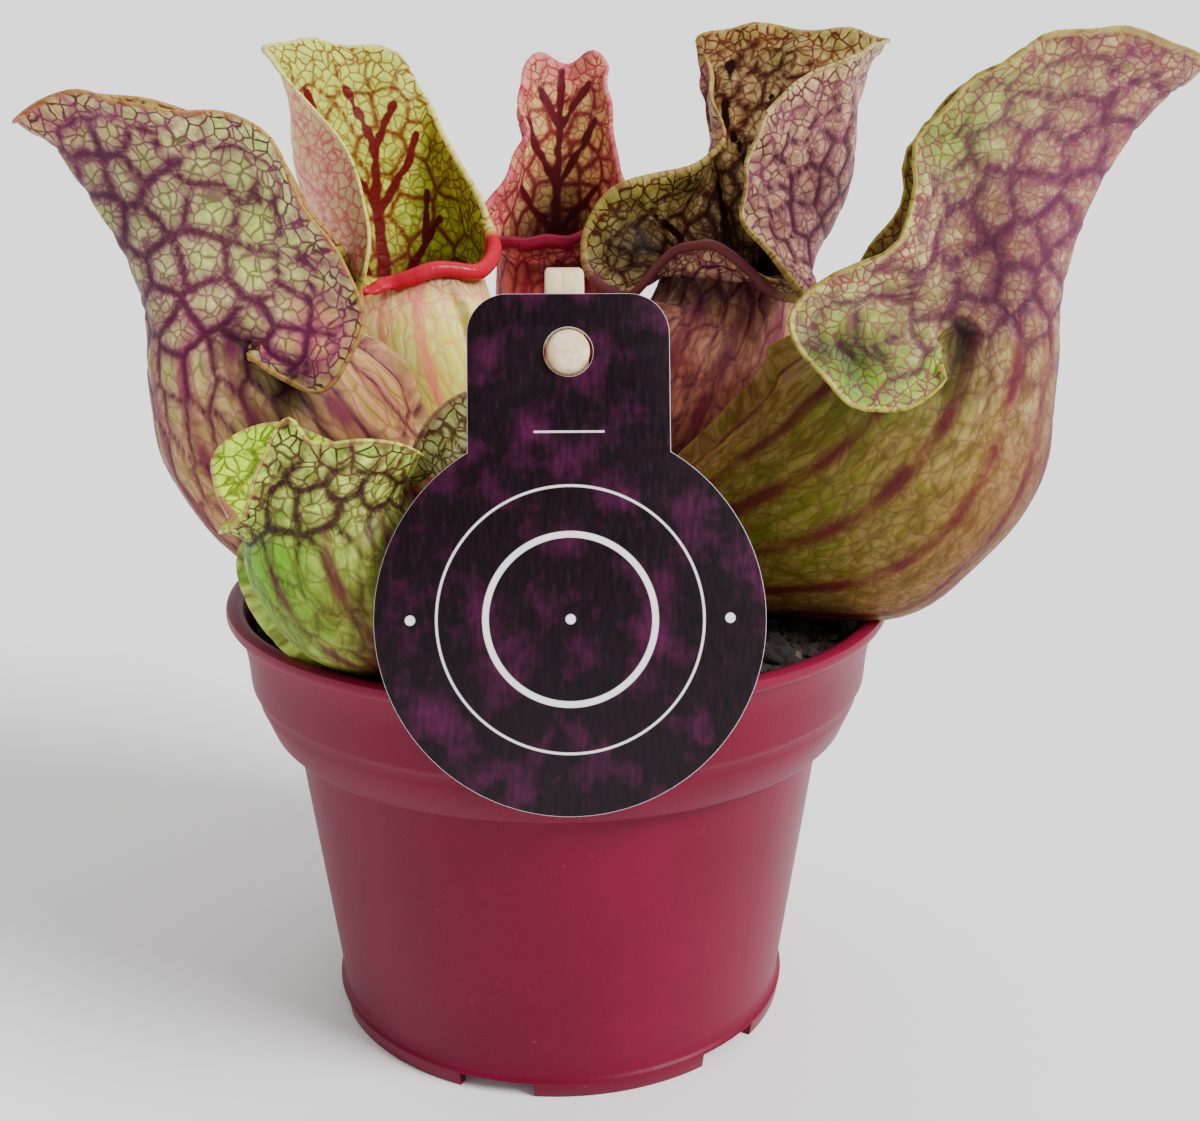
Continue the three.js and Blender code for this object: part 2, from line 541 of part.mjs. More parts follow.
function cardOutline() {
  const half = CARD_NECK_WIDTH / 2;
  const joinAngle = Math.acos(half / CARD_DISC_RADIUS);
  const shape = new THREE.Shape();
  shape.absarc(0, CARD_DISC_RADIUS, CARD_DISC_RADIUS, Math.PI - joinAngle, 2 * Math.PI + joinAngle, false);
  shape.lineTo(half, CARD_LENGTH - CARD_CORNER);
  shape.absarc(half - CARD_CORNER, CARD_LENGTH - CARD_CORNER, CARD_CORNER, 0, Math.PI / 2, false);
  shape.absarc(CARD_CORNER - half, CARD_LENGTH - CARD_CORNER, CARD_CORNER, Math.PI / 2, Math.PI, false);
  shape.closePath();
  const hole = new THREE.Path();
  hole.absarc(0, PEG_ALONG_CARD, PEG_HOLE_RADIUS, 0, 2 * Math.PI, true);
  shape.holes.push(hole);
  return shape;
}

const cardSheet = new THREE.ExtrudeGeometry(cardOutline(), {
  depth: CARD_THICKNESS, bevelEnabled: false, curveSegments: 15,
});
add('label_card', toSolid(cardPlace(cardSheet)), 0x2c1426, 0.35);

// Peg: a round wooden pin pushed through the card's hole into the stake
function peg(grow) {
  const radius = PEG_RADIUS + grow;
  const length = PEG_PROUD + CARD_THICKNESS + PEG_BEHIND_CARD + grow;
  const geometry = new THREE.CylinderGeometry(radius, radius, length, 16).rotateX(Math.PI / 2);
  geometry.translate(0, PEG_ALONG_CARD, CARD_THICKNESS + PEG_PROUD - length / 2);
  return toSolid(cardPlace(geometry));
}

// Stake: a square wooden stick beside the rootstock, its top just above the card
function stake(grow) {
  const front = cardBack[1] + CARD_LENGTH * Math.sin(lean) + CARD_TO_STAKE;
  const half = STAKE_WIDTH / 2 + grow;
  const tipHalf = STAKE_TIP_HALF + grow;
  const shape = new THREE.Shape();
  shape.moveTo(-half, STAKE_TOP + grow);
  shape.lineTo(-half, STAKE_BOTTOM + STAKE_POINT);
  shape.lineTo(-tipHalf, STAKE_BOTTOM - grow);
  shape.lineTo(tipHalf, STAKE_BOTTOM - grow);
  shape.lineTo(half, STAKE_BOTTOM + STAKE_POINT);
  shape.lineTo(half, STAKE_TOP + grow);
  shape.closePath();
  const geometry = new THREE.ExtrudeGeometry(shape, { depth: 2 * half, bevelEnabled: false });
  geometry.translate(0, -STAKE_TOP, -half);
  geometry.rotateX(Math.PI / 2 - degrees(STAKE_LEAN_DEG));
  geometry.translate(STAKE_X, front + STAKE_WIDTH / 2, STAKE_TOP);
  return toSolid(geometry);
}

add('label_peg', peg(0), 0xd8c39a, 0.7);
add('label_stake', stake(0).subtract(peg(CLEARANCE)), 0xd9c9a0, 0.75);

// Soil: a plug that fills the pot, crumbly on top, with the rootstock and the stake standing in it
function soilSurface(r, turn) {
  const waves = Math.sin(0.9 * r + 3 * turn) * Math.cos(5 * turn - 0.4 * r);
  const crumbs = 0.7 * Math.sin(7 * turn + 0.8 * r);
  return SOIL_LEVEL + SOIL_RELIEF * (waves + crumbs);
}

function soilPlug() {
  const edge = [potInnerWall[1][0] + 0.35, SOIL_LEVEL - SOIL_EDGE_DROP];
  const againstWall = [edge, ...potInnerWall.slice(1)].map(([r, z]) => [r - CLEARANCE, z + CLEARANCE]);
  const profile = againstWall.reverse().map(([r, z]) => ({ r, heightAt: () => z }));
  const edgeRadius = edge[0] - CLEARANCE;
  for (let k = 1; k <= SOIL_TOP_RINGS; k += 1) {
    const r = edgeRadius * (1 - k / (SOIL_TOP_RINGS + 1));
    profile.push({ r, heightAt: (turn) => soilSurface(r, turn) });
  }
  const rings = profile.map(({ r, heightAt }) => {
    const ring = [];
    for (let i = 0; i < SOIL_SIDES; i += 1) {
      const turn = 2 * Math.PI * i / SOIL_SIDES;
      ring.push(vector(r * Math.cos(turn), r * Math.sin(turn), heightAt(turn)));
    }
    return ring;
  });
  return toSolid(skin(rings));
}

add('soil', soilPlug().subtract(crownRoom).subtract(stake(CLEARANCE)), 0x2a211c, 0.95);

// The origin: the middle of the floor space that the plant takes, at the level of the pot's feet
const middle = new THREE.Box3().setFromObject(plant).getCenter(vector(0, 0, 0));
plant.position.set(-middle.x, -middle.y, 0);

export default plant;
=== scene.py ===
import bpy
import numpy as np
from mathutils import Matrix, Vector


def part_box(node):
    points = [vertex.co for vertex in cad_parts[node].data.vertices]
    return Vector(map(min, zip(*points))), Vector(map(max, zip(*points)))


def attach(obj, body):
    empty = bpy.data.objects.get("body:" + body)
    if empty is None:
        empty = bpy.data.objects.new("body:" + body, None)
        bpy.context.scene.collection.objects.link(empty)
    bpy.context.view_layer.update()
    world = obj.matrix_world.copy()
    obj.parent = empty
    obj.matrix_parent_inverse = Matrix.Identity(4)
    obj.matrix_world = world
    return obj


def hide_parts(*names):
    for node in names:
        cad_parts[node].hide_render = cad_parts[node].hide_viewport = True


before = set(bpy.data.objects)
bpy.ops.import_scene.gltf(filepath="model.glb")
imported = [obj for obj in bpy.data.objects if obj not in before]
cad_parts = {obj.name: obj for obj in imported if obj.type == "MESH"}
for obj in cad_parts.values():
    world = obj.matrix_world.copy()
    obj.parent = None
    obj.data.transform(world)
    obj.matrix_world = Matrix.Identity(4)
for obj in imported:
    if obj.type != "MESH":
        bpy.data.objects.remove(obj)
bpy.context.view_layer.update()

# Nursery pot: one thin moulded polypropylene wall, raspberry red with a satin skin. It has a rolled rim,
# a stepped collar, a plain taper down to a fine parting ridge, six arc feet and eight drain holes.
MM = 0.001
pot_low, pot_high = (np.array(corner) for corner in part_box("pot"))
pot_axis = np.array([(pot_low[0] + pot_high[0]) / 2, (pot_low[1] + pot_high[1]) / 2, pot_low[2]])
rim_radius = (pot_high[0] - pot_low[0]) / 2 / MM
pot_height = (pot_high[2] - pot_low[2]) / MM
collar_radius = rim_radius - 3.5
taper_top_radius = rim_radius - 8.3
foot_radius = 32.2
pot_wall = 0.8
floor_height = 2.6
sharp_edge = np.radians(38)
foot_count = 6
foot_gap_degrees = 18
first_gap_degrees = -105.5
foot_gap_height = 2.05
drain_count = 8
drain_radius = 3
drain_circle = 22
drain_sides = 28
foot_cut = 3
cut_past = 1
pot_turns = 288


def add_mesh(name, points, faces, smooth=True):
    """A mesh object from points in millimetres, measured from the middle of the pot's foot."""
    mesh = bpy.data.meshes.new(name)
    mesh.from_pydata((np.asarray(points) * MM + pot_axis).tolist(), [], [list(face) for face in faces])
    mesh.polygons.foreach_set("use_smooth", [smooth] * len(mesh.polygons))
    mesh.update()
    piece = bpy.data.objects.new(name, mesh)
    bpy.context.scene.collection.objects.link(piece)
    return piece


def seat(piece, node):
    """The piece stands for the solid of that name and takes its place on the plant."""
    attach(piece, "root")
    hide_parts(node)


def paint(code):
    """A linear colour from a hex code."""
    values = [int(code[i:i + 2], 16) / 255 for i in (1, 3, 5)]
    return [v / 12.92 if v <= 0.04045 else ((v + 0.055) / 1.055) ** 2.4 for v in values] + [1.0]


class Finish:
    """A procedural material that is mixed layer by layer."""

    def __init__(self, name):
        self.material = bpy.data.materials.new(name)
        self.material.use_nodes = True
        self.tree = self.material.node_tree
        self.skin = self.tree.nodes["Principled BSDF"]

    def put(self, socket, value):
        if isinstance(value, bpy.types.NodeSocket):
            self.tree.links.new(value, socket)
        else:
            socket.default_value = value

    def node(self, kind, values=(), **settings):
        made = self.tree.nodes.new("ShaderNode" + kind)
        for key, value in settings.items():
            setattr(made, key, value)
        for key, value in dict(values).items():
            self.put(made.inputs[key], value)
        return made

    def surface(self, **values):
        for key, value in values.items():
            self.put(self.skin.inputs[key.replace("_", " ")], value)

    def place(self, stretch=(1, 1, 1)):
        where = self.node("TexCoord").outputs["Object"]
        return self.node("Mapping", {"Vector": where, "Scale": stretch}).outputs[0]

    def drawn(self, name):
        return self.node("Attribute", attribute_name=name).outputs

    def noise(self, where, scale, detail=3, rough=0.5):
        return self.node("TexNoise", {"Vector": where, "Scale": scale, "Detail": detail,
                                      "Roughness": rough}).outputs["Fac"]

    def steps(self, value, *stops):
        ramp = self.node("ValToRGB", {"Fac": value})
        for _ in stops[2:]:
            ramp.color_ramp.elements.new(0.5)
        for element, (place, shade) in zip(ramp.color_ramp.elements, stops):
            element.position = place
            element.color = shade if isinstance(shade, list) else [shade, shade, shade, 1]
        return ramp.outputs["Color"]

    def sum(self, how, a, b):
        return self.node("Math", {0: a, 1: b}, operation=how, use_clamp=how == "MULTIPLY").outputs[0]

    def part(self, mask, share):
        """A mask weakened by a share or by another mask."""
        return self.sum("MULTIPLY", mask, share)

    def slope(self, value, low, high, start=0.0, end=1.0):
        """A straight change from start to end while the value goes from low to high."""
        return self.node("MapRange", {0: value, 1: low, 2: high, 3: start, 4: end}).outputs[0]

    def mix(self, share, under, over, how="MIX"):
        mixed = self.node("Mix", {0: share, 6: under, 7: over}, data_type="RGBA", blend_type=how)
        return mixed.outputs[2]

    def bump(self, height, depth, strength=1.0, under=None):
        made = self.node("Bump", {"Height": height, "Distance": depth, "Strength": strength})
        if under is not None:
            self.put(made.inputs["Normal"], under)
        return made.outputs[0]


collar_top = pot_height - 7.3
collar_foot = pot_height - 12.6
taper_top = pot_height - 18.6
pot_profile = [
    (foot_radius - 1.3, 0), (foot_radius - 0.1, 0), (foot_radius, 0.1), (foot_radius + 0.3, 2.0),
    (foot_radius + 0.3, 2.2), (foot_radius - 0.1, 2.45), (foot_radius - 0.3, 2.9),
    (foot_radius - 0.2, 4.5), (taper_top_radius - 0.2, taper_top - 1.6), (taper_top_radius, taper_top),
    (taper_top_radius + 0.7, taper_top + 0.5), (taper_top_radius + 1.9, taper_top + 0.8),
    (taper_top_radius + 2.7, taper_top + 1.1), (taper_top_radius + 3.15, taper_top + 1.6),
    (collar_radius - 0.1, collar_foot - 0.6), (collar_radius, collar_foot),
    (collar_radius + 0.12, collar_foot + 1.0), (collar_radius + 0.35, collar_foot + 1.4),
    (collar_radius + 0.72, collar_foot + 1.75), (collar_radius + 0.8, collar_foot + 2.2),
    (collar_radius + 1, collar_top), (rim_radius - 1.75, pot_height - 2.4),
    (rim_radius - 1.5, pot_height - 1.95), (rim_radius - 0.7, pot_height - 1.8),
    (rim_radius - 0.25, pot_height - 1.55), (rim_radius, pot_height - 1.1), (rim_radius, pot_height - 0.6),
    (rim_radius - 0.15, pot_height - 0.2), (rim_radius - 0.5, pot_height),
    (rim_radius - 1.5, pot_height), (rim_radius - 2.0, pot_height - 0.2),
    (rim_radius - 2.4, pot_height - 0.8), (collar_radius + 1 - pot_wall, collar_top),
    (collar_radius + 0.6 - pot_wall, collar_foot + 2.2), (collar_radius - pot_wall, collar_foot),
    (taper_top_radius + 2.6 - pot_wall, taper_top + 2), (taper_top_radius - pot_wall, taper_top),
    (foot_radius - pot_wall - 0.2, floor_height + pot_wall), (0, floor_height + pot_wall),
    (0, floor_height), (foot_radius - 1.6, floor_height), (foot_radius - 1.45, 1.2),
]


def revolve(name, profile, turns):
    """Turns a closed outline of (radius, height) rows round the pot's axis."""
    points = []
    faces = []
    rows = []
    for radius, height in profile:
        ring = []
        for i in range(turns if radius > 0 else 1):
            turn = 2 * np.pi * i / turns
            ring.append(len(points))
            points.append((radius * np.cos(turn), radius * np.sin(turn), height))
        rows.append(ring)
    for low, high in zip(rows, rows[1:] + rows[:1]):
        if len(low) == 1 and len(high) == 1:
            continue
        for i in range(turns):
            j = (i + 1) % turns
            corners = [low[i % len(low)], low[j % len(low)], high[j % len(high)], high[i % len(high)]]
            faces.append(list(dict.fromkeys(corners)))
    return add_mesh(name, points, faces)


def cut(piece, points, faces):
    """Takes a closed shape away from the piece."""
    tool = add_mesh("cutter", points, faces)
    change = piece.modifiers.new("cut", "BOOLEAN")
    change.object = tool
    change.solver = "EXACT"
    bpy.context.view_layer.objects.active = piece
    bpy.ops.object.modifier_apply(modifier=change.name)
    bpy.data.objects.remove(tool)


def belt(low, high, sides):
    """Faces between two rings of points, which start at the given numbers."""
    return [(low + i, low + (i + 1) % sides, high + (i + 1) % sides, high + i) for i in range(sides)]


def prism(outline, low, high):
    """Points and faces of an upright block over an outline."""
    count = len(outline)
    points = [(x, y, low) for x, y in outline] + [(x, y, high) for x, y in outline]
    ends = [tuple(range(count - 1, -1, -1)), tuple(range(count, 2 * count))]
    return points, ends + belt(0, count, count)


def join(parts):
    """One list of points and one of faces from many."""
    points = np.vstack([p for p, _ in parts])
    starts = np.cumsum([0] + [len(p) for p, _ in parts])
    faces = [[start + corner for corner in face] for start, (_, fs) in zip(starts, parts) for face in fs]
    return points, faces


pot = revolve("nursery_pot", pot_profile, pot_turns)
holes = []
for i in range(foot_count):
    middle = np.radians(first_gap_degrees + 360 * i / foot_count)
    half = np.radians(foot_gap_degrees / 2)
    inner = foot_radius - foot_cut
    outer = foot_radius + foot_cut
    corners = [(inner, -half), (outer, -half), (outer, half), (inner, half)]
    notch = [(r * np.cos(middle + a), r * np.sin(middle + a)) for r, a in corners]
    holes.append(prism(notch, -cut_past, foot_gap_height))
for i in range(drain_count):
    middle = 2 * np.pi * (i + 0.5) / drain_count
    around = 2 * np.pi * np.arange(drain_sides) / drain_sides
    hole = [(drain_circle * np.cos(middle) + drain_radius * np.cos(a),
             drain_circle * np.sin(middle) + drain_radius * np.sin(a)) for a in around]
    holes.append(prism(hole, floor_height - cut_past, floor_height + pot_wall + cut_past))
cut(pot, *join(holes))
pot.data.set_sharp_from_angle(angle=sharp_edge)

plastic = Finish("raspberry_plastic")
where = plastic.place()
cloudy = plastic.noise(where, 45, 4, 0.6)
body = plastic.steps(cloudy, (0.3, paint("#5e0622")), (0.7, paint("#6a082a")))
height = plastic.node("SeparateXYZ", {0: where}).outputs[2]
near_rim = plastic.steps(plastic.part(height, 1 / (pot_height * MM)), (0.9, 0.0), (1.0, 1.0))
body = plastic.mix(plastic.part(near_rim, 0.25), body, paint("#942040"))
dust = plastic.steps(plastic.noise(where, 900, 2, 0.7), (0.68, 0.0), (0.76, 1.0))
body = plastic.mix(plastic.part(dust, 0.10), body, paint("#c05a78"))
moulded = plastic.noise(where, 2600, 2)
flow = plastic.noise(plastic.place((1, 1, 0.15)), 160, 2)
satin = plastic.steps(cloudy, (0.2, 0.36), (0.8, 0.46))
plastic.surface(Base_Color=body, Specular_IOR_Level=0.14, Roughness=satin,
                Subsurface_Weight=0.06, Subsurface_Scale=0.002, Subsurface_Radius=(1.0, 0.3, 0.35),
                Normal=plastic.bump(moulded, 0.00006, 0.5, plastic.bump(flow, 0.0002, 0.25)))
pot.data.materials.append(plastic.material)
seat(pot, "pot")

# Peat: dark crumbly growing mix that fills the pot to just under the rim, with bark chips, pale grit
# and fibres on top. It is pressed in by hand, so it is lower at the wall and heaped at the rootstock.
soil_level = 57.2
soil_wall_gap = 0.3
soil_rings = 110
soil_turns = 300
heap_height = 1.2
wall_dip = 0.5
crumb_sizes = [(2.2, 260), (1.3, 700), (0.8, 900)]
chance = np.random.default_rng(7)


def wave_field(x, y, z, size, seed, count=24):
    """Smooth noise of about -1 to 1: crossed waves of one wavelength in many directions."""
    draws = np.random.default_rng(seed)
    total = np.zeros(np.shape(x))
    for _ in range(count):
        way = draws.normal(size=3)
        way *= 2 * np.pi / size / np.linalg.norm(way)
        total += np.sin(way[0] * x + way[1] * y + way[2] * z + draws.uniform(0, 2 * np.pi))
    return total / np.sqrt(count / 2)


def soil_height(x, y):
    """The peat's surface above a point: heaped in the middle, with hollows and crumbs."""
    reach = np.hypot(x, y) / collar_radius
    flat = x * 0
    heap = heap_height * np.exp(-(reach / 0.45) ** 2) - wall_dip * np.clip(reach - 0.8, 0, 1)
    lumps = 0.45 * wave_field(x, y, flat, 9, 1) + 0.28 * wave_field(x, y, flat, 3.2, 2)
    crumbs = 0.22 * np.abs(wave_field(x, y, flat, 1.4, 3))
    return soil_level + heap + lumps + crumbs


def fan(ring, hub, sides):
    """Faces between a ring of points and one point."""
    return [(ring + i, ring + (i + 1) % sides, hub) for i in range(sides)]


soil_edge = collar_radius + 0.8 - pot_wall - soil_wall_gap
turns = 2 * np.pi * np.arange(soil_turns) / soil_turns
soil_points = []
for k in range(soil_rings):
    radius = soil_edge * (1 - k / soil_rings)
    x, y = radius * np.cos(turns), radius * np.sin(turns)
    soil_points.append(np.column_stack([x, y, soil_height(x, y)]))
soil_points.append(np.array([[0, 0, float(soil_height(np.zeros(1), np.zeros(1))[0])]]))
soil_faces = []
for k in range(soil_rings - 1):
    soil_faces += belt(k * soil_turns, (k + 1) * soil_turns, soil_turns)
top = soil_rings * soil_turns
soil_faces += fan(top - soil_turns, top, soil_turns)
plug = [(soil_edge, soil_level - 1.6), (collar_radius - pot_wall - soil_wall_gap, collar_foot),
        (taper_top_radius - pot_wall - soil_wall_gap, taper_top),
        (foot_radius - pot_wall - soil_wall_gap - 0.2, floor_height + pot_wall + soil_wall_gap)]
upper = 0
lower = top + 1
for radius, level in plug:
    soil_points.append(np.column_stack([radius * np.cos(turns), radius * np.sin(turns), turns * 0 + level]))
    soil_faces += belt(lower, upper, soil_turns)
    upper = lower
    lower += soil_turns
soil_faces.append(tuple(reversed(range(upper, lower))))


def rough_chip(size, flatness, draws):
    """A broken crumb: a block of eight corners pushed about, with a face for each side."""
    block = np.array([(x, y, z) for z in (-1, 1) for x, y in ((-1, -1), (1, -1), (1, 1), (-1, 1))], float)
    block *= size / 2 * np.array([draws.uniform(0.6, 1.5), draws.uniform(0.5, 1.0), flatness])
    block += draws.normal(size=(8, 3)) * size * 0.12
    spin = np.linalg.qr(draws.normal(size=(3, 3)))[0]
    spin[2] *= np.sign(np.linalg.det(spin))
    tilt = np.array([1, 1, 0.45])
    faces = [(3, 2, 1, 0), (4, 5, 6, 7), (0, 1, 5, 4), (1, 2, 6, 5), (2, 3, 7, 6), (3, 0, 4, 7)]
    return block @ spin * tilt, faces


peat_parts = [(np.vstack(soil_points), soil_faces)]
for size, count in crumb_sizes:
    for _ in range(count):
        reach = (soil_edge - size) * np.sqrt(chance.uniform(0.02, 1))
        turn = chance.uniform(0, 2 * np.pi)
        x, y = reach * np.cos(turn), reach * np.sin(turn)
        shape, faces = rough_chip(size * chance.uniform(0.6, 1.4), chance.uniform(0.35, 0.9), chance)
        lift = float(soil_height(np.array([x]), np.array([y]))[0]) + 0.08 * size
        peat_parts.append((shape + (x, y, lift), faces))
soil = add_mesh("peat", *join(peat_parts))

peat = Finish("dark_peat")
where = peat.place()
fine = peat.noise(where, 900, 5, 0.7)
brown = peat.steps(fine, (0.35, paint("#120d0a")), (0.6, paint("#2a201a")), (0.8, paint("#4a3a2e")))
patches = peat.steps(peat.noise(where, 140, 3), (0.45, 0.0), (0.7, 1.0))
brown = peat.mix(peat.part(patches, 0.5), brown, paint("#30261f"))
grit = peat.node("TexVoronoi", {"Vector": where, "Scale": 700}, feature="F1")
speck = peat.steps(grit.outputs["Color"], (0.93, 0.0), (0.95, 1.0))
brown = peat.mix(peat.part(speck, 0.35), brown, paint("#8a7a66"))
peat.surface(Base_Color=brown, Roughness=0.92,
             Normal=peat.bump(fine, 0.0006, 0.9, peat.bump(peat.noise(where, 3500, 2), 0.0001, 0.6)))
soil.data.materials.append(peat.material)
seat(soil, "soil")

# Rootstock: the woody brown knob that all the leaves grow from, with a short branch under each of the
# two small leaves, old leaf scars in low rings, and six main roots that spread down through the peat.
crown_centre = np.array([0, 0, 54.0])
crown_radii = np.array([10.5, 10.5, 8.2])
branch_radius = 3.4
root_count = 6
root_radius = 1.3
crown_height = 58


def capped(rows, sides):
    """Faces of a closed shape: rings of points from foot to top, then one point for each end."""
    count = rows * sides
    faces = [face[::-1] for face in fan(0, count, sides)] + fan(count - sides, count + 1, sides)
    for k in range(rows - 1):
        faces += belt(k * sides, (k + 1) * sides, sides)
    return faces


def ball(centre, radii, rows, turns_round, swell):
    """A closed lumpy ball as points and faces."""
    lift = np.linspace(0, np.pi, rows + 2)[1:-1]
    round_about = 2 * np.pi * np.arange(turns_round) / turns_round
    a, b = np.meshgrid(lift, round_about, indexing="ij")
    unit = np.stack([np.sin(a) * np.cos(b), np.sin(a) * np.sin(b), -np.cos(a)], -1).reshape(-1, 3)
    unit = np.vstack([unit, [0, 0, -1], [0, 0, 1]])
    points = np.asarray(centre) + unit * np.asarray(radii)
    points += unit * swell(points)[:, None]
    return points, capped(rows, turns_round)


def tube(route, radii, sides):
    """A closed tube along a route of points, with a radius at each."""
    route = np.asarray(route, float)
    along = np.gradient(route, axis=0)
    along /= np.linalg.norm(along, axis=1)[:, None]
    side = np.cross(along, [0.02, 0.03, 1.0])
    side /= np.linalg.norm(side, axis=1)[:, None]
    up = np.cross(side, along)
    turn = 2 * np.pi * np.arange(sides) / sides
    rings = route[:, None] + np.asarray(radii)[:, None, None] * (
        np.cos(turn)[None, :, None] * side[:, None] + np.sin(turn)[None, :, None] * up[:, None])
    points = np.vstack([rings.reshape(-1, 3), route[:1], route[-1:]])
    return points, [face[::-1] for face in capped(len(route), sides)]


def smooth_along(rows, t):
    """One smooth value list through given rows, evenly spaced along the way."""
    rows = np.asarray(rows, float)
    place = np.clip(np.asarray(t, float), 0, 1) * (len(rows) - 1)
    i = np.minimum(place.astype(int), len(rows) - 2)
    f = (place - i)[:, None]
    padded = np.vstack([2 * rows[0] - rows[1], rows, 2 * rows[-1] - rows[-2]])
    a, b, c, d = padded[i], padded[i + 1], padded[i + 2], padded[i + 3]
    return 0.5 * (2 * b + (c - a) * f + (2 * a - 5 * b + 4 * c - d) * f ** 2
                  + (3 * b - a - 3 * c + d) * f ** 3)


def scars(points):
    """How far the skin stands out: rings of old leaf scars, with lumps between them."""
    rings = np.sin(points[:, 2] * 3.4 + 1.5 * wave_field(*points.T, 9, 11))
    return 0.18 * rings + 0.3 * wave_field(*points.T, 5, 12) + 0.12 * wave_field(*points.T, 1.6, 13)


crown_parts = [ball(crown_centre, crown_radii, 60, 90, scars)]
small_roots = [(-23, -30.6), (-8, -12)]
small_feet = [(-18.1, -31.6), (-8, -12)]
branch_steps = np.linspace(0, 1, 24)
for (x, y), foot in zip(small_roots, small_feet):
    bends = [(x * 0.2, y * 0.2, 54), (x * 0.75, y * 0.75, 53.5), (*foot, 55.8)]
    route = smooth_along(bends, branch_steps)
    crown_parts.append(tube(route, branch_radius * (1 - 0.25 * branch_steps), 20))
    knob = branch_radius * np.array([1, 1, 0.9])
    crown_parts.append(ball((*foot, crown_height - 1.6), knob, 16, 24, lambda p: 0.4 * scars(p)))
for i in range(root_count):
    turn = 2 * np.pi * (i + 0.35) / root_count
    spread = 20 + 3 * np.sin(3.1 * i)
    bends = [(4, 52, 0), (0.6 * spread, 44, 0.1), (spread, 30, 0.35), (0.9 * spread, 13, 0.6)]
    route = smooth_along([(r * np.cos(turn + twist), r * np.sin(turn + twist), z) for r, z, twist in bends],
                         np.linspace(0, 1, 60))
    route += 0.35 * np.stack([wave_field(*route.T, 6, 20 + i + k) for k in range(3)], -1)
    crown_parts.append(tube(route, np.linspace(root_radius, root_radius * 0.35, 60), 10))
crown = add_mesh("rootstock", *join(crown_parts))
bark = Finish("scaly_rootstock")
where = bark.place()
fibres = bark.noise(bark.place((1, 1, 0.3)), 700, 5, 0.65)
brown = bark.steps(fibres, (0.3, paint("#2a170e")), (0.55, paint("#553523")), (0.8, paint("#86613f")))
bark.surface(Base_Color=brown, Roughness=0.78, Normal=bark.bump(fibres, 0.0005, 0.8))
crown.data.materials.append(bark.material)
seat(crown, "crown")

# Pitcher leaves: each one is a single leaf grown into a hollow jug, with a thin fleshy wall, a keel down
# its front, a rolled lip round the mouth and a hood that stands up behind it. Every leaf grows from the
# rootstock, and its wax-covered skin shows a net of raised veins, crimson where the sun has caught it.
leaf_wall = 0.85
margin_wall = 0.5
hood_reach = 0.9
wing_start = 0.04
mouth_tilt_start = 0.6
keel_half_width = 1.3
keel_flat = 0.35
ruffle_depth = 7
lump_height = 0.22
lump_length = 17
vein_wobble = 0.14
side_gap = 0.09
least_lip_radius = 0.35
lip_bend = 90
lip_curl = 120
crest_height = 0.16
trunk_rough = 0.12
skin_seed = 31
seed_tries = 7000
trunk_steps = 22
thinnest_trunk = 0.62


def smooth_around(rows, angles):
    """The same round a closed outline: each row is [angle in degrees, values...]."""
    rows = np.asarray(rows, float)
    places = np.concatenate([rows[:, 0] - 360, rows[:, 0], rows[:, 0] + 360])
    values = np.vstack([rows[:, 1:]] * 3)
    gaps = np.diff(places)[:, None]
    rises = np.diff(values, axis=0) / gaps
    slopes = np.zeros_like(values)
    slopes[1:-1] = (rises[:-1] * gaps[1:] + rises[1:] * gaps[:-1]) / (gaps[1:] + gaps[:-1])
    i = np.searchsorted(places, angles, side="right") - 1
    h = (places[i + 1] - places[i])[:, None]
    f = (angles - places[i])[:, None] / h
    return ((2 * f ** 3 - 3 * f ** 2 + 1) * values[i] + (f ** 3 - 2 * f ** 2 + f) * h * slopes[i]
            + (3 * f ** 2 - 2 * f ** 3) * values[i + 1] + (f ** 3 - f ** 2) * h * slopes[i + 1])


def unit(v):
    """The same directions with a length of 1."""
    return v / np.maximum(np.linalg.norm(v, axis=-1, keepdims=True), 1e-9)


def ramp(value, low, high):
    """0 below low, 1 above high, and a smooth step between."""
    t = np.clip((value - low) / (high - low), 0, 1)
    return t * t * (3 - 2 * t)


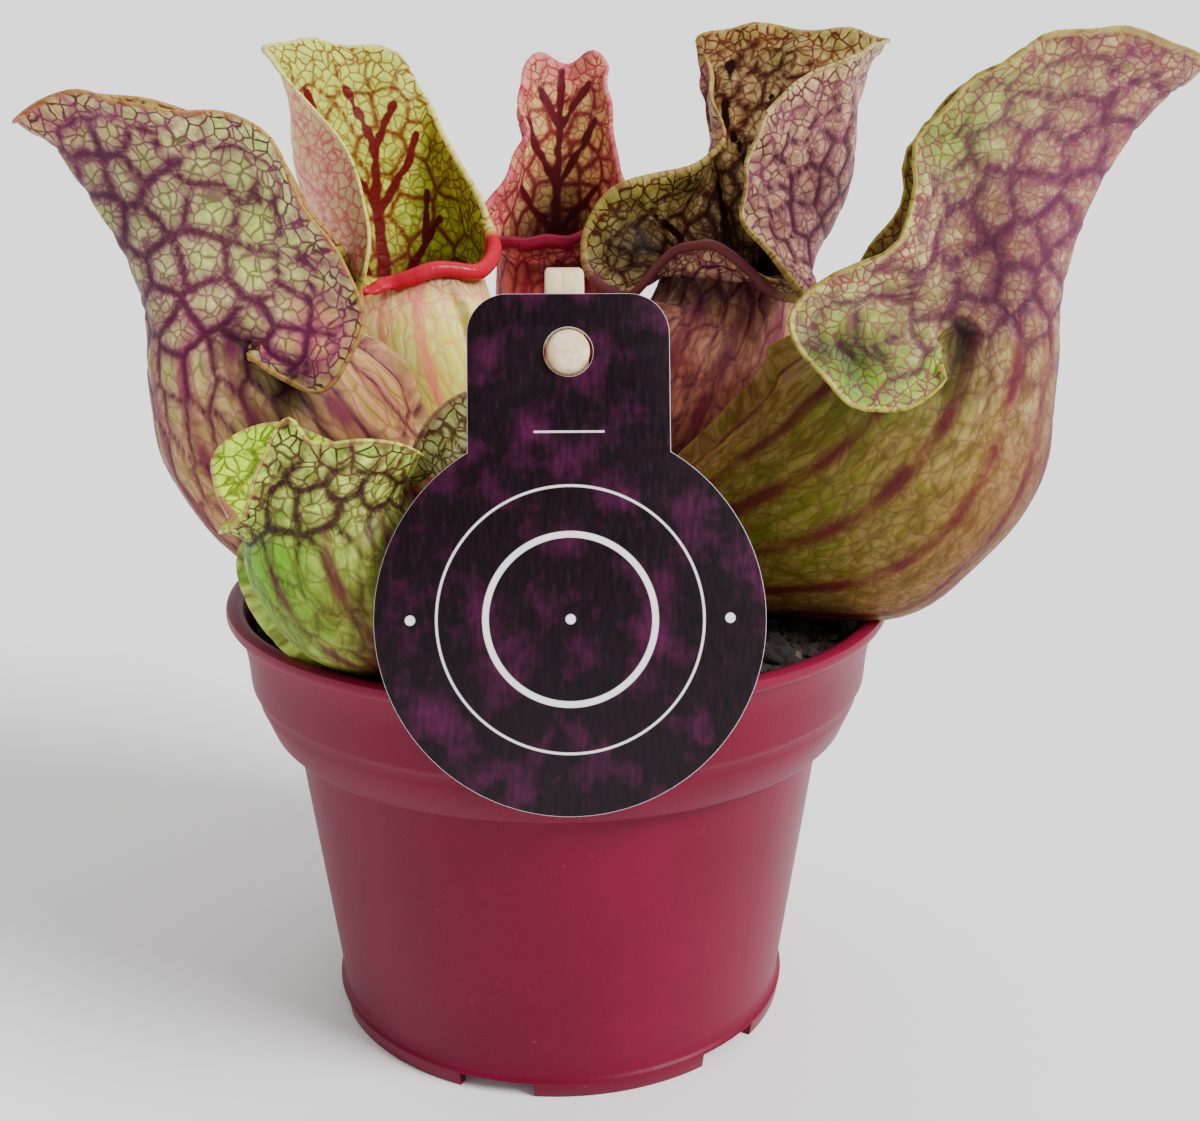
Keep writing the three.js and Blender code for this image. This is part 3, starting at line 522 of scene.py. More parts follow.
def leaf_grid(leaf, around, body_rows, hood_rows):
    """Rows of points up the leaf without its keel, each point's angle and height, and each row's middle."""
    dense = np.linspace(0, 9, 14)[1:]
    angles = np.concatenate([-180 + 0 * dense[:1], -180 + dense, np.linspace(-170, 170, around),
                             180 - dense[::-1]])
    a = np.radians(angles)
    t = np.linspace(0, 1, body_rows)
    body = smooth_along(leaf["body"], t)
    slope = smooth_along(leaf["body"], t + 0.001) - smooth_along(leaf["body"], t - 0.001)
    tilted = np.clip((t - mouth_tilt_start) / (1 - mouth_tilt_start), 0, 1)
    rise = np.unwrap(np.arctan2(slope[:, 1], slope[:, 0])) + np.radians(leaf["mouth_tilt"]) * tilted
    normal = np.stack([np.sin(rise), 0 * rise, -np.cos(rise)], -1)
    middle = np.stack([body[:, 0], body[:, 4], body[:, 1]], -1)
    rows = (middle[:, None] + (body[:, 2:3] * np.cos(a))[..., None] * normal[:, None]
            + (body[:, 3:4] * np.sin(a))[..., None] * [0, 1, 0])
    fin = leaf["wing"] * np.sin(np.pi * np.clip((t - wing_start) / (1 - wing_start), 0, 1)) ** 0.7
    from_front = body[:, 3:4] * np.radians(180 - np.abs(angles))
    keel = (fin[:, None] * (1 - ramp(from_front, keel_flat, keel_half_width)))[..., None] * -normal[:, None]
    throat = rows[-1]
    steeper = ramp(np.cos(a), 0, 0.7)[:, None]
    leaving = unit(unit(throat - rows[-2]) * (1 - steeper) + unit(throat - rows[-body_rows // 7]) * steeper)
    margin = smooth_around(leaf["margin"], angles)
    bow = smooth_around(leaf["belly"], angles)
    end = margin[:, :3]
    reach = np.linalg.norm(end - throat, axis=1)[:, None] * hood_reach
    outward = np.cos(a)[:, None] * normal[-1] + np.sin(a)[:, None] * [0, 1, 0]
    arriving = unit(unit(end - throat) + margin[:, 3:4] * outward)
    hood = []
    for h in np.linspace(0, 1, hood_rows + 1)[1:]:
        hood.append((2 * h ** 3 - 3 * h ** 2 + 1) * throat + (h ** 3 - 2 * h ** 2 + h) * leaving * reach
                    + (3 * h ** 2 - 2 * h ** 3) * end + (h ** 3 - h ** 2) * arriving * reach
                    + bow * 16 * h * h * (1 - h) ** 2)
    points = np.concatenate([rows, hood])
    heights = np.concatenate([t, 1 + np.linspace(0, 1, hood_rows + 1)[1:]])
    middles = np.concatenate([middle, np.repeat(middle[-1:], hood_rows, axis=0)])
    keel = np.concatenate([keel, np.zeros((hood_rows, len(angles), 3))])
    return points, angles, heights, middles, keel


def grid_normals(points):
    """Outward directions and directions of growth on a grid that closes round each row."""
    across = np.roll(points, -1, axis=1) - np.roll(points, 1, axis=1)
    up = np.gradient(points, axis=0)
    return unit(np.cross(across, up)), unit(up)


def patch(angles, heights, spots):
    """A soft mask from spots of (angle, height, half width in degrees, half height, strength)."""
    mask = np.zeros((len(heights), len(angles)))
    for angle, height, wide, tall, strength in spots:
        turn = (angles - angle + 180) % 360 - 180
        spot = strength * np.exp(-(turn[None] / wide) ** 2 - ((heights[:, None] - height) / tall) ** 2)
        mask = np.maximum(mask, spot)
    return mask


def vein_net(places, points, spacing, draws):
    """Distance in millimetres along the skin from each point to the vein between its two nearest cells."""
    step_round = np.roll(points, -1, axis=1) - np.roll(points, 1, axis=1)
    step_up = np.gradient(points, axis=0)
    round_length = np.linalg.norm(step_round, axis=2, keepdims=True).clip(0.01)
    up_length = np.linalg.norm(step_up, axis=2, keepdims=True).clip(0.01)
    slant = (step_round / round_length * step_up / up_length).sum(2, keepdims=True).clip(-0.9, 0.9)
    per_round = (np.roll(places, -1, axis=1) - np.roll(places, 1, axis=1)) / round_length
    per_up = (np.gradient(places, axis=0) / up_length - slant * per_round) / np.sqrt(1 - slant ** 2)
    per_round, per_up, spots = (grid.reshape(-1, 4) for grid in (per_round, per_up, places))
    room = spacing.reshape(-1)
    seeds = []
    gaps = []
    for k in draws.permutation(len(spots))[:seed_tries]:
        if not seeds or (np.linalg.norm(np.array(seeds) - spots[k], axis=1)
                         > np.minimum(np.array(gaps), room[k])).all():
            seeds.append(spots[k])
            gaps.append(room[k])
    seeds = np.array(seeds)
    away = np.empty(len(spots))
    batch = 4000
    for start in range(0, len(spots), batch):
        part = slice(start, start + batch)
        apart = (spots[part] ** 2).sum(1)[:, None] + (seeds ** 2).sum(1) - 2 * spots[part] @ seeds.T
        pair = np.argpartition(apart, 1, axis=1)
        first, second = seeds[pair[:, 0]], seeds[pair[:, 1]]
        between = second - first
        reach = np.abs(((spots[part] - (first + second) / 2) * between).sum(1))
        change = np.hypot((between * per_round[part]).sum(1), (between * per_up[part]).sum(1))
        away[part] = reach / np.maximum(change, 0.35 * np.linalg.norm(between, axis=1))
    return away.reshape(spacing.shape)


def calm_throat(points, angles, heights, rounds):
    """Evens out the crease where the back of the hood leaves the throat."""
    near_throat = ramp(heights, 0.72, 0.92) * (1 - ramp(heights, 1.2, 1.5))
    share = 0.6 * near_throat[1:-1, None, None] * (1 - ramp(np.abs(angles), 45, 88))[None, :, None]
    for _ in range(rounds):
        calm = (points[:-2] + points[2:]) / 2
        beside = (np.roll(points, 1, axis=1) + np.roll(points, -1, axis=1))[1:-1] / 2
        points[1:-1] += share * ((0.7 * calm + 0.3 * beside) - points[1:-1])


def vein_masks(leaf, points, middles, angles, heights, from_margin, draws):
    """The raised net, the wider halo of colour beside it, and each point's place among the cells."""
    places = points - middles[:, None] * (1 - 1 / leaf["cell_stretch"])
    wobble = np.stack([wave_field(*points.transpose(2, 0, 1), 4, 40 + k) for k in range(3)], -1)
    places += wobble * vein_wobble
    apart_sides = np.repeat(side_gap * angles[None, :, None], len(heights), axis=0)
    spacing = leaf["cell"] * (0.7 + 0.3 * ramp(heights, 0.7, 1.2)[:, None])
    spacing = spacing * (0.62 + 0.38 * ramp(from_margin, 0, 9))
    spacing *= 0.8 + 0.2 * ramp(heights, 0, 0.6)[:, None]
    apart = vein_net(np.concatenate([places, apart_sides], axis=2), points, spacing, draws)
    thick = leaf["vein_width"] * (0.45 + 0.55 * ramp(from_margin, 0, 12))
    to_hood = ramp(heights, 0.62, 1.22)[:, None]
    thick *= 0.5 + 0.5 * to_hood
    faint = leaf["jug_net"] + (1 - leaf["jug_net"]) * to_hood
    net = faint * np.exp(-(apart / (0.62 * thick)) ** 2) * (0.25 + 0.75 * ramp(from_margin, 0.5, 5))
    halo = faint * np.exp(-(apart / (leaf["bleed"] * thick)) ** 2)
    return net, halo, places


def stripe_mask(leaf, points, middles, angles, heights, waves):
    """Stripes up the jug that sway a little and fade at the foot and on the hood."""
    swing = 5 * np.sin(3 * heights)[:, None]
    width = np.linalg.norm(points - middles[:, None], axis=2)
    stripes = np.zeros_like(width)
    for angle in leaf["stripes"]:
        turn = (angles[None] + swing - angle + 180) % 360 - 180
        stripes = np.maximum(stripes, np.exp(-(np.radians(turn) * width / leaf["stripe_width"]) ** 2))
    fade = ramp(heights, 0.02, 0.2) * (1 - 0.8 * ramp(heights, 0.9, 1.35)) * (1 - ramp(heights, 1.4, 1.85))
    return stripes * (fade[:, None] * (0.75 + 0.25 * waves.clip(-1, 1)))


def trunk_mask(routes, points, angles, heights):
    """The broad main veins on the inside of the hood, each along a route of angle, height and width."""
    trunk = np.zeros(points.shape[:2])
    rough = trunk_rough * wave_field(*points.transpose(2, 0, 1), 2.5, 77)
    for route in routes:
        route = np.array(route, float)
        for (a0, h0, w0), (a1, h1, w1) in zip(route, route[1:]):
            for s in np.linspace(0, 1, trunk_steps):
                place = np.interp(h0 + (h1 - h0) * s, heights, np.arange(len(heights)))
                column = np.interp(a0 + (a1 - a0) * s, angles, np.arange(len(angles)))
                i, j = int(place), int(column)
                low = points[i, j] + (points[i, j + 1] - points[i, j]) * (column - j)
                high = points[i + 1, j] + (points[i + 1, j + 1] - points[i + 1, j]) * (column - j)
                spot = low + (high - low) * (place - i)
                gap = np.maximum(np.linalg.norm(points - spot, axis=2) + rough, 0)
                broad = max(w0 + (w1 - w0) * s, thinnest_trunk)
                trunk = np.maximum(trunk, np.exp(-gap ** 2 / broad ** 2))
    return trunk


def skin_faces(rows, columns):
    """Faces of the outside and of the inside, each with its half of the crest and its cap at the foot."""
    i = np.arange(columns)
    j = (i + 1) % columns
    low = np.arange(rows - 1)[:, None] * columns
    count = rows * columns
    ends = count - columns
    edge = 2 * count
    hub = edge + columns
    outer = np.stack([low + i, low + j, low + columns + j, low + columns + i], -1).reshape(-1, 4)
    inner = outer[:, ::-1] + count
    outer_rim = np.stack([ends + i, ends + j, edge + j, edge + i], -1)
    inner_rim = np.stack([edge + i, edge + j, count + ends + j, count + ends + i], -1)
    outer_cap = np.stack([hub + 0 * i, j, i], -1)
    inner_cap = np.stack([hub + 1 + 0 * i, count + i, count + j], -1)
    return (outer.tolist() + outer_rim.tolist() + outer_cap.tolist(),
            inner.tolist() + inner_rim.tolist() + inner_cap.tolist())


def on_plant(leaf, local):
    """Points from a leaf's own directions (out, aside, up) to where the leaf grows."""
    azimuth = np.radians(leaf["azimuth"])
    outwards = np.array([np.cos(azimuth), np.sin(azimuth), 0])
    sideways = np.array([-np.sin(azimuth), np.cos(azimuth), 0])
    return (np.asarray(leaf["root"], float) + local[:, :1] * outwards + local[:, 1:2] * sideways
            + local[:, 2:] * [0, 0, 1])


def leaf_piece(name, leaf, around=150, body_rows=66, hood_rows=74, lip_rows=9):
    """The whole skin of one leaf: outside, rolled margin and inside, with its veins drawn on it."""
    draws = np.random.default_rng(skin_seed + len(name))
    points, angles, heights, middles, keel = leaf_grid(leaf, around, body_rows, hood_rows)
    calm_throat(points, angles, heights, round(0.007 * hood_rows ** 2))
    outward, growth = grid_normals(points)
    from_margin = np.cumsum(np.linalg.norm(np.diff(points, axis=0), axis=2)[::-1], axis=0)[::-1]
    from_margin = np.vstack([from_margin, 0 * from_margin[:1]])

    ruffle_height, ruffle_length = leaf["ruffle"]
    on_hood = ramp(heights, 1.25, 1.9)[:, None] * np.exp(-from_margin / ruffle_depth)
    waves = wave_field(*points.transpose(2, 0, 1), ruffle_length, skin_seed + len(name))
    points = points + outward * (ruffle_height * on_hood * waves)[..., None]
    lumps = wave_field(*points.transpose(2, 0, 1), lump_length, 5) * lump_height
    points = points + outward * (lumps * ramp(heights, 0.1, 0.5)[:, None])[..., None]

    net, halo, places = vein_masks(leaf, points, middles, angles, heights, from_margin, draws)
    stripes = stripe_mask(leaf, points, middles, angles, heights, waves)

    lip = ramp(np.abs(angles), *leaf["lip_from"])
    lip_radius = least_lip_radius + (leaf["lip_radius"] - least_lip_radius) * lip
    bend = np.linspace(0, 1, lip_rows + 1)[1:, None] * np.radians(lip_bend + lip_curl * lip)
    last, out, up = points[-1], outward[-1], growth[-1]
    roll = (last + (lip_radius * np.sin(bend))[..., None] * up
            + (lip_radius * (1 - np.cos(bend)))[..., None] * out)
    sheet = np.concatenate([points, roll])
    sheet_out = grid_normals(sheet)[0]
    rows, columns = sheet.shape[:2]
    tall = np.concatenate([heights, np.full(lip_rows, 2.0)])
    depth = leaf_wall / 2 + (margin_wall - leaf_wall) / 2 * ramp(tall, 1, 2)[:, None] + 0 * sheet[..., 0]
    depth[-lip_rows:] *= np.linspace(1, 0.75, lip_rows)[:, None]

    def over(grid):
        """Carries the margin's row of values over the rolled lip."""
        return np.concatenate([grid, np.repeat(grid[-1:], lip_rows, axis=0)])

    puff = over(leaf["puff"] * (1 - net) * ramp(from_margin, 0, 3)) - 0.5 * leaf["puff"]
    keel = np.concatenate([keel, np.zeros((lip_rows, columns, 3))])
    outside = sheet + sheet_out * (depth + puff)[..., None] + keel
    inside = sheet - sheet_out * (depth - 0.4 * puff)[..., None]
    crest = (outside[-1] + inside[-1]) / 2 + grid_normals(sheet)[1][-1] * crest_height

    local = np.concatenate([outside.reshape(-1, 3), inside.reshape(-1, 3), crest,
                            outside[0].mean(0)[None], inside[0].mean(0)[None]])
    outer_faces, inner_faces = skin_faces(rows, columns)
    piece = add_mesh(name, on_plant(leaf, local), outer_faces + inner_faces)
    sides = [0] * len(outer_faces) + [1] * len(inner_faces)
    piece.data.polygons.foreach_set("material_index", sides)

    def draw(label, grid, kind="FLOAT", field="value"):
        """Stores a value or a place for each point: outside, inside, crest and the two hubs."""
        flat = grid.reshape(rows * columns, -1)
        whole = np.concatenate([flat, flat, flat[-columns:], flat[:1], flat[:1]]).astype(np.float32)
        piece.data.attributes.new(label, kind, "POINT").data.foreach_set(field, whole.ravel())

    blank = np.zeros((rows, columns))
    draw("net", over(net))
    draw("halo", over(np.maximum(halo, 0.8 * stripes)))
    draw("stripes", over(stripes))
    draw("rise", tall[:, None] + blank)
    draw("margin", over(from_margin))
    on_lip = np.repeat(lip[None], lip_rows, axis=0)
    draw("lip", np.concatenate([np.outer(ramp(heights, 1.75, 2), lip), on_lip]))
    # The shade spots and near_shade spots are painted shade; flush and lime are the skin's own colour.
    for mask in ("flush", "lime", "shade"):
        cover = patch(angles, tall, leaf[mask])
        for x, y, z, size, strength in leaf.get("near_" + mask, ()):
            cover = np.maximum(cover, strength * np.exp(-((sheet - (x, y, z)) ** 2).sum(2) / size ** 2))
        draw(mask, cover)
    draw("trunks", over(trunk_mask(leaf["trunks"], points, angles, heights)))
    draw("places", over(places), "FLOAT_VECTOR", "vector")
    return piece


# Sizes of the leaves in millimetres, each from the foot of its own leaf, and angles in degrees round it,
# where 0 is the hood's back and 180 the keel. Rows of body: out, up, half depth, half width, aside. Rows
# of margin: angle, out, aside, up, how far it turns out. Heights go from 0 at the foot over 1 at the throat
# to 2 at the margin. Spots of colour: angle, height, half width, half height, strength. Spots whose names
# begin with near: out, aside, up, radius, strength. Rows of trunks, the broad veins: angle, height, width.
# The shade spots and near_shade spots mark painted shade: the throat's dark hole, shadow under lips and
# lobes, and the hood's turned-away edge.
usual = {
    "root": (0, 0, crown_height), "mouth_tilt": 0, "bleed": 1.5, "jug_net": 0.6, "trunks": (),
    "belly": [(-180, 0, 0, 0), (-90, 0, 0, 0), (0, 0, 0, 0), (90, 0, 0, 0)],
}
leaves = {}

leaves["pitcher_left"] = {
    "azimuth": 186, "wing": 2,
    "body": [
        (6.5, 2.2, 2, 2, 0), (13, 6.5, 6, 5.6, 0), (23, 12, 10.6, 10, 0), (32, 19, 15.4, 12.5, 0),
        (37.5, 26, 14.8, 12.5, 0), (41, 33, 12, 11, 0), (41.8, 37, 10.6, 9.5, 0)],
    "margin": [
        (-180, 29, 0, 33, 1.5), (-150, 31, -6, 34, 1.2), (-128, 36, -10.5, 35, 0.7),
        (-115, 39.5, -11.5, 35, 0.3), (-103, 35, -14, 31.5, 0.5), (-93, 30, -15.5, 32.5, 0.6),
        (-84, 26, -15.5, 38, 0.6), (-75, 27, -14, 44, 0.5), (-66, 32, -12, 52, 0.4),
        (-55, 36, -12, 60, 0.5), (-40, 46, -12, 64, 0.5), (-20, 57, -8, 66.5, 0.6),
        (0, 65.5, 0, 63.5, 0.8), (20, 57.5, 8, 66.5, 0.6), (40, 46, 12, 64.5, 0.5), (55, 35, 13, 62, 0.5),
        (66, 31, 12.5, 53, 0.4), (77, 25.5, 14, 44, 0.5), (88, 26, 15.5, 37, 0.6), (100, 31, 15, 32, 0.5),
        (113, 38.5, 12, 36, 0.3), (128, 36, 10.5, 35, 0.7), (150, 31, 6, 34, 1.2)],
    "cell": 4.6, "cell_stretch": 2.1, "vein_width": 1.05, "bleed": 2, "jug_net": 0.8,
    "puff": 0.28, "ruffle": (0.35, 8),
    "stripes": [-150, -118, -88, -58, -28, 0, 30, 62, 95, 130], "stripe_width": 1.2,
    "lip_from": (118, 140), "lip_radius": 0.8,
    "flush": [
        (108, 1.55, 16, 0.22, 1), (100, 1.25, 25, 0.15, 0.7), (0, 2, 30, 0.25, 0.7),
        (30, 0.5, 60, 0.5, 0.35), (145, 0.6, 42, 0.4, 0.5)],
    "lime": [(60, 1.65, 22, 0.3, 0.6), (98, 1.97, 25, 0.1, 0.5), (70, 0.5, 30, 0.2, 0.5)],
    "shade": [(12, 1.5, 36, 0.55, 0.55), (100, 0.75, 22, 0.22, 0.6), (5, 0.6, 20, 0.4, 0.4)],
    "near_flush": [(31, 15, 38.5, 6.5, 1)],
    "near_shade": [(40.3, 11.5, 38.4, 4.2, 1), (34, 12.5, 32, 5, 0.9)],
}

leaves["pitcher_back_left"] = {
    "azimuth": 128, "mouth_tilt": 8, "wing": 2.5,
    "body": [
        (6.5, 2.2, 2, 1.8, 0), (14, 8.5, 7, 5.5, 1), (21, 16, 12, 9.5, 2.5), (27, 25, 13.5, 11, 2.5),
        (31.5, 34, 11.2, 10.4, 1), (33.5, 40, 9.2, 9.4, 0)],
    "margin": [
        (-180, 24, 0, 43.5, 1.6), (-150, 24, -4.5, 44, 1.4), (-125, 25.5, -8, 45.5, 0.8),
        (-105, 27.5, -9, 48.8, 0.5), (-85, 30, -8.5, 53, 0.3), (-65, 36, -7.5, 60, 0.2),
        (-40, 41, -7, 67, 0.3), (-20, 44, -5, 72.5, 0.5), (0, 47, 3, 74, 0.5), (20, 46, 11, 74, 0.6),
        (36, 44, 17, 73, 0.8), (55, 34, 18, 68, -0.1), (70, 26, 16, 60, -0.3), (85, 22, 15, 51, -0.3),
        (100, 22.5, 15, 43.5, -0.1), (115, 27, 14, 40, 0.2), (135, 28, 9, 42, 1), (155, 25, 4.5, 43, 1.4)],
    "belly": [(-180, 0, 0, 0), (-90, 0, -1, 0), (0, 1, 0, 0), (60, 2, 4, 0), (90, 0, 3, 0), (120, 0, 0, 0)],
    "cell": 5, "cell_stretch": 2.4, "vein_width": 0.7, "jug_net": 0.3, "puff": 0.2, "ruffle": (0.3, 9),
    "stripes": range(-150, 151, 30), "stripe_width": 0.8,
    "lip_from": (100, 125), "lip_radius": 0.95,
    "flush": [(80, 1.5, 35, 0.45, 1), (-70, 1.9, 30, 0.3, 0.6), (170, 0.9, 60, 0.12, 0.4)],
    "lime": [(20, 1.9, 60, 0.35, 0.9), (150, 0.5, 60, 0.3, 0.7)],
    "shade": [(180, 1, 60, 0.1, 0.6)],
    "trunks": [
        [(5, 1.05, 1.32), (3, 1.3, 0.96), (-2, 1.55, 0.78), (5, 1.8, 0.54)],
        [(3, 1.3, 0.72), (-18, 1.5, 0.6), (-30, 1.7, 0.42)],
        [(3, 1.35, 0.66), (22, 1.55, 0.6), (28, 1.78, 0.42)],
        [(22, 1.05, 0.96), (38, 1.3, 0.72), (50, 1.5, 0.48)],
        [(-20, 1.05, 1.02), (-38, 1.22, 0.78), (-55, 1.42, 0.48)],
        [(38, 1.3, 0.48), (35, 1.55, 0.42)],
        [(-38, 1.22, 0.48), (-40, 1.5, 0.36)],
        [(-2, 1.55, 0.48), (-14, 1.75, 0.36)],
        [(60, 1.02, 0.72), (75, 1.3, 0.48)],
    ],
}

leaves["pitcher_back"] = {
    "azimuth": 90, "mouth_tilt": 8, "wing": 2.5,
    "body": [
        (6.5, 2.2, 2, 1.8, 0), (18, 8.5, 5.5, 4.6, -0.5), (28, 16, 8.5, 7.4, -0.8),
        (35, 27, 9.3, 8.8, -0.5), (38.5, 36, 8.8, 8.8, 0), (39.5, 42, 8, 8.4, 0)],
    "margin": [
        (-180, 31.5, -0.5, 46.5, 1.5), (-150, 32.5, -5, 47, 1.3), (-125, 34.5, -9.3, 48.5, 0.8),
        (-105, 36.5, -12, 50.5, 0.5), (-85, 38.5, -9.8, 55, 0.1), (-65, 40.5, -8.8, 60, 0),
        (-40, 43.5, -8.3, 67, 0.1), (-20, 47.5, -6.8, 73, 0.4), (-3, 48.5, -2, 71.5, 0.4),
        (15, 47.5, 2.6, 73, 0.4), (38, 43.5, 4.7, 68, 0.1), (60, 40.5, 4.7, 61, 0),
        (80, 38.5, 8, 54, 0.1), (100, 36.5, 10.8, 50, 0.5), (120, 34.5, 10, 46.5, 0.7),
        (145, 32.5, 6, 46, 1.2)],
    "cell": 3.4, "cell_stretch": 2.6, "vein_width": 0.8, "puff": 0.2, "ruffle": (0.35, 6),
    "stripes": [-150, -120, -95, -70, -40, -10, 20, 50, 80, 110, 150], "stripe_width": 0.9,
    "lip_from": (105, 130), "lip_radius": 0.8,
    "flush": [
        (-80, 1.7, 30, 0.6, 1), (80, 1.7, 30, 0.6, 1), (0, 2, 60, 0.2, 0.8), (180, 0.7, 90, 0.6, 0.7)],
    "lime": [(0, 1.7, 25, 0.3, 0.5)],
    "shade": [(180, 1, 50, 0.12, 0.8), (0, 1.1, 60, 0.25, 0.8)],
    "trunks": [
        [(0, 1.05, 0.95), (0, 1.5, 0.7), (0, 1.96, 0.62)],
        [(0, 1.12, 0.7), (30, 1.3, 0.62), (48, 1.5, 0.62)],
        [(0, 1.12, 0.7), (-30, 1.3, 0.62), (-48, 1.5, 0.62)],
        [(0, 1.38, 0.62), (24, 1.56, 0.62), (32, 1.75, 0.62)],
        [(0, 1.38, 0.62), (-24, 1.56, 0.62), (-32, 1.75, 0.62)],
        [(0, 1.66, 0.62), (18, 1.84, 0.62)],
        [(0, 1.66, 0.62), (-18, 1.84, 0.62)],
    ],
}

leaves["pitcher_back_right"] = {
    "azimuth": 42, "mouth_tilt": 8, "wing": 2.5,
    "body": [
        (6.5, 2.2, 2, 1.8, 0), (14, 8.5, 7.5, 6, 0), (21, 16, 12.3, 10.5, 0), (27, 25, 13.8, 12, 0),
        (32, 34, 11.5, 11, 0), (33.5, 41, 9.4, 9.6, 0)],
    "margin": [
        (-180, 24, -2, 46.5, 1.5), (-150, 25, -8, 46, 1.2), (-128, 28, -14, 41, 0.5),
        (-112, 29, -19, 39.5, 0.3), (-95, 24, -17, 44.8, 0), (-78, 21, -14, 52, -0.2),
        (-62, 22, -14, 59.5, -0.2), (-48, 26, -15.5, 66, -0.2), (-36, 38, -18, 72, 0.2),
        (-22, 53, -12, 74.4, 0.8), (0, 49, 0, 76, 0.5), (14, 48, 6, 76.7, 0.4), (30, 42, 14, 75, 0.5),
        (48, 40, 10, 70.5, 0), (62, 38, 6.5, 66, -0.3), (75, 37, 6, 59, -0.3), (86, 33, 8, 56.5, 0),
        (98, 24, 13, 54, 0.4), (110, 20.5, 15.5, 48.6, 0.6), (125, 19, 14, 42, 0.8),
        (142, 20.5, 8, 39.5, 1), (160, 23, 3, 44, 1.3)],
    "belly": [
        (-180, 0, 0, 0), (-90, 4, -4, 0), (-50, 5, -5, 0), (0, 0, 0, 0), (50, 2, 2, 0), (80, 1, 3, 0),
        (110, 0, 0, 0)],
    "cell": 3.6, "cell_stretch": 2.4, "vein_width": 0.85, "puff": 0.25, "ruffle": (0.35, 7),
    "stripes": range(-150, 151, 30), "stripe_width": 1.3,
    "lip_from": (112, 135), "lip_radius": 0.45,
    "flush": [(-80, 1.6, 40, 0.4, 0.6), (30, 2, 40, 0.3, 0.5), (180, 0.6, 120, 0.5, 0.7)],
    "lime": [(100, 1.9, 25, 0.25, 0.8), (-90, 2, 30, 0.2, 0.5), (0, 2, 40, 0.15, 0.6)],
    "shade": [(112, 1.55, 26, 0.4, 0.9), (-60, 1.5, 30, 0.4, 0.6), (180, 1, 90, 0.12, 0.9)],
    "trunks": [
        [(0, 1.05, 1.44), (0, 1.4, 0.96), (5, 1.7, 0.6)],
        [(0, 1.3, 0.84), (-20, 1.6, 0.6)],
        [(8, 1.3, 0.84), (24, 1.6, 0.54), (22, 1.85, 0.36)],
        [(40, 1.1, 1.08), (45, 1.45, 0.6)],
        [(80, 1.15, 0.96), (95, 1.6, 0.54)],
        [(-40, 1.1, 1.08), (-45, 1.5, 0.6)],
    ],
}

leaves["pitcher_right"] = {
    "azimuth": -18, "wing": 3,
    "body": [
        (6.5, 2.2, 2, 2, 0), (17, 8.5, 7.3, 6, 0), (30, 13.5, 13.3, 10.5, 0), (41, 19, 17.3, 13.5, 0),
        (48.5, 27.5, 16, 13, 0), (52, 35, 12, 11, 0), (52.5, 39.5, 10.7, 10, 0)],
    "margin": [
        (-180, 38.5, 0, 34, 1.5), (-150, 41.5, -6.5, 35, 1.2), (-128, 47, -11, 36, 0.7),
        (-115, 51, -12.5, 35.5, 0.3), (-103, 45.5, -15.5, 31.5, 0.5), (-93, 38.5, -17, 33.5, 0.6),
        (-84, 34.2, -17, 40, 0.6), (-75, 36, -15.5, 44.5, 0.5), (-66, 44.5, -13, 50, 0.4),
        (-55, 46.5, -14, 60, 0.5), (-40, 54, -15, 69, 0.5), (-20, 66, -10, 73, 0.6),
        (0, 76.5, 0, 70, 0.8), (20, 66, 9, 73, 0.6), (40, 54, 13, 70, 0.5), (55, 45, 13.5, 62.5, 0.5),
        (66, 42.5, 13, 52, 0.4), (77, 38, 15, 46, 0.5), (88, 36, 16.5, 40, 0.6), (100, 41, 16, 34, 0.5),
        (113, 50, 12.5, 35.5, 0.3), (128, 47, 11, 36, 0.7), (150, 41.5, 6.5, 35, 1.2)],
    "cell": 4.4, "cell_stretch": 2.2, "vein_width": 0.95, "bleed": 2.6, "jug_net": 0.3,
    "puff": 0.28, "ruffle": (0.6, 7.5),
    "stripes": [-160, -130, -105, -80, -52, -25, 0, 30, 62, 95, 130, 160], "stripe_width": 0.85,
    "lip_from": (120, 142), "lip_radius": 0.8,
    "flush": [
        (-40, 1.25, 35, 0.35, 0.8), (0, 0.7, 50, 0.6, 1), (-20, 2, 30, 0.12, 0.6), (0, 1.5, 30, 0.5, 0.7)],
    "lime": [
        (-112, 1.75, 18, 0.3, 1), (-95, 1.45, 14, 0.2, 0.5), (-95, 0.4, 50, 0.25, 0.5),
        (-40, 1.9, 18, 0.25, 0.6)],
    "shade": [(-86, 1, 12, 0.25, 1), (-55, 1.35, 25, 0.3, 0.5)],
    "near_lime": [(50, -14, 63, 7, 0.9), (41, -17, 35, 10, 1)],
    "near_shade": [(36, -15.5, 37, 4, 1), (40, -13, 36.5, 4.5, 1)],
}

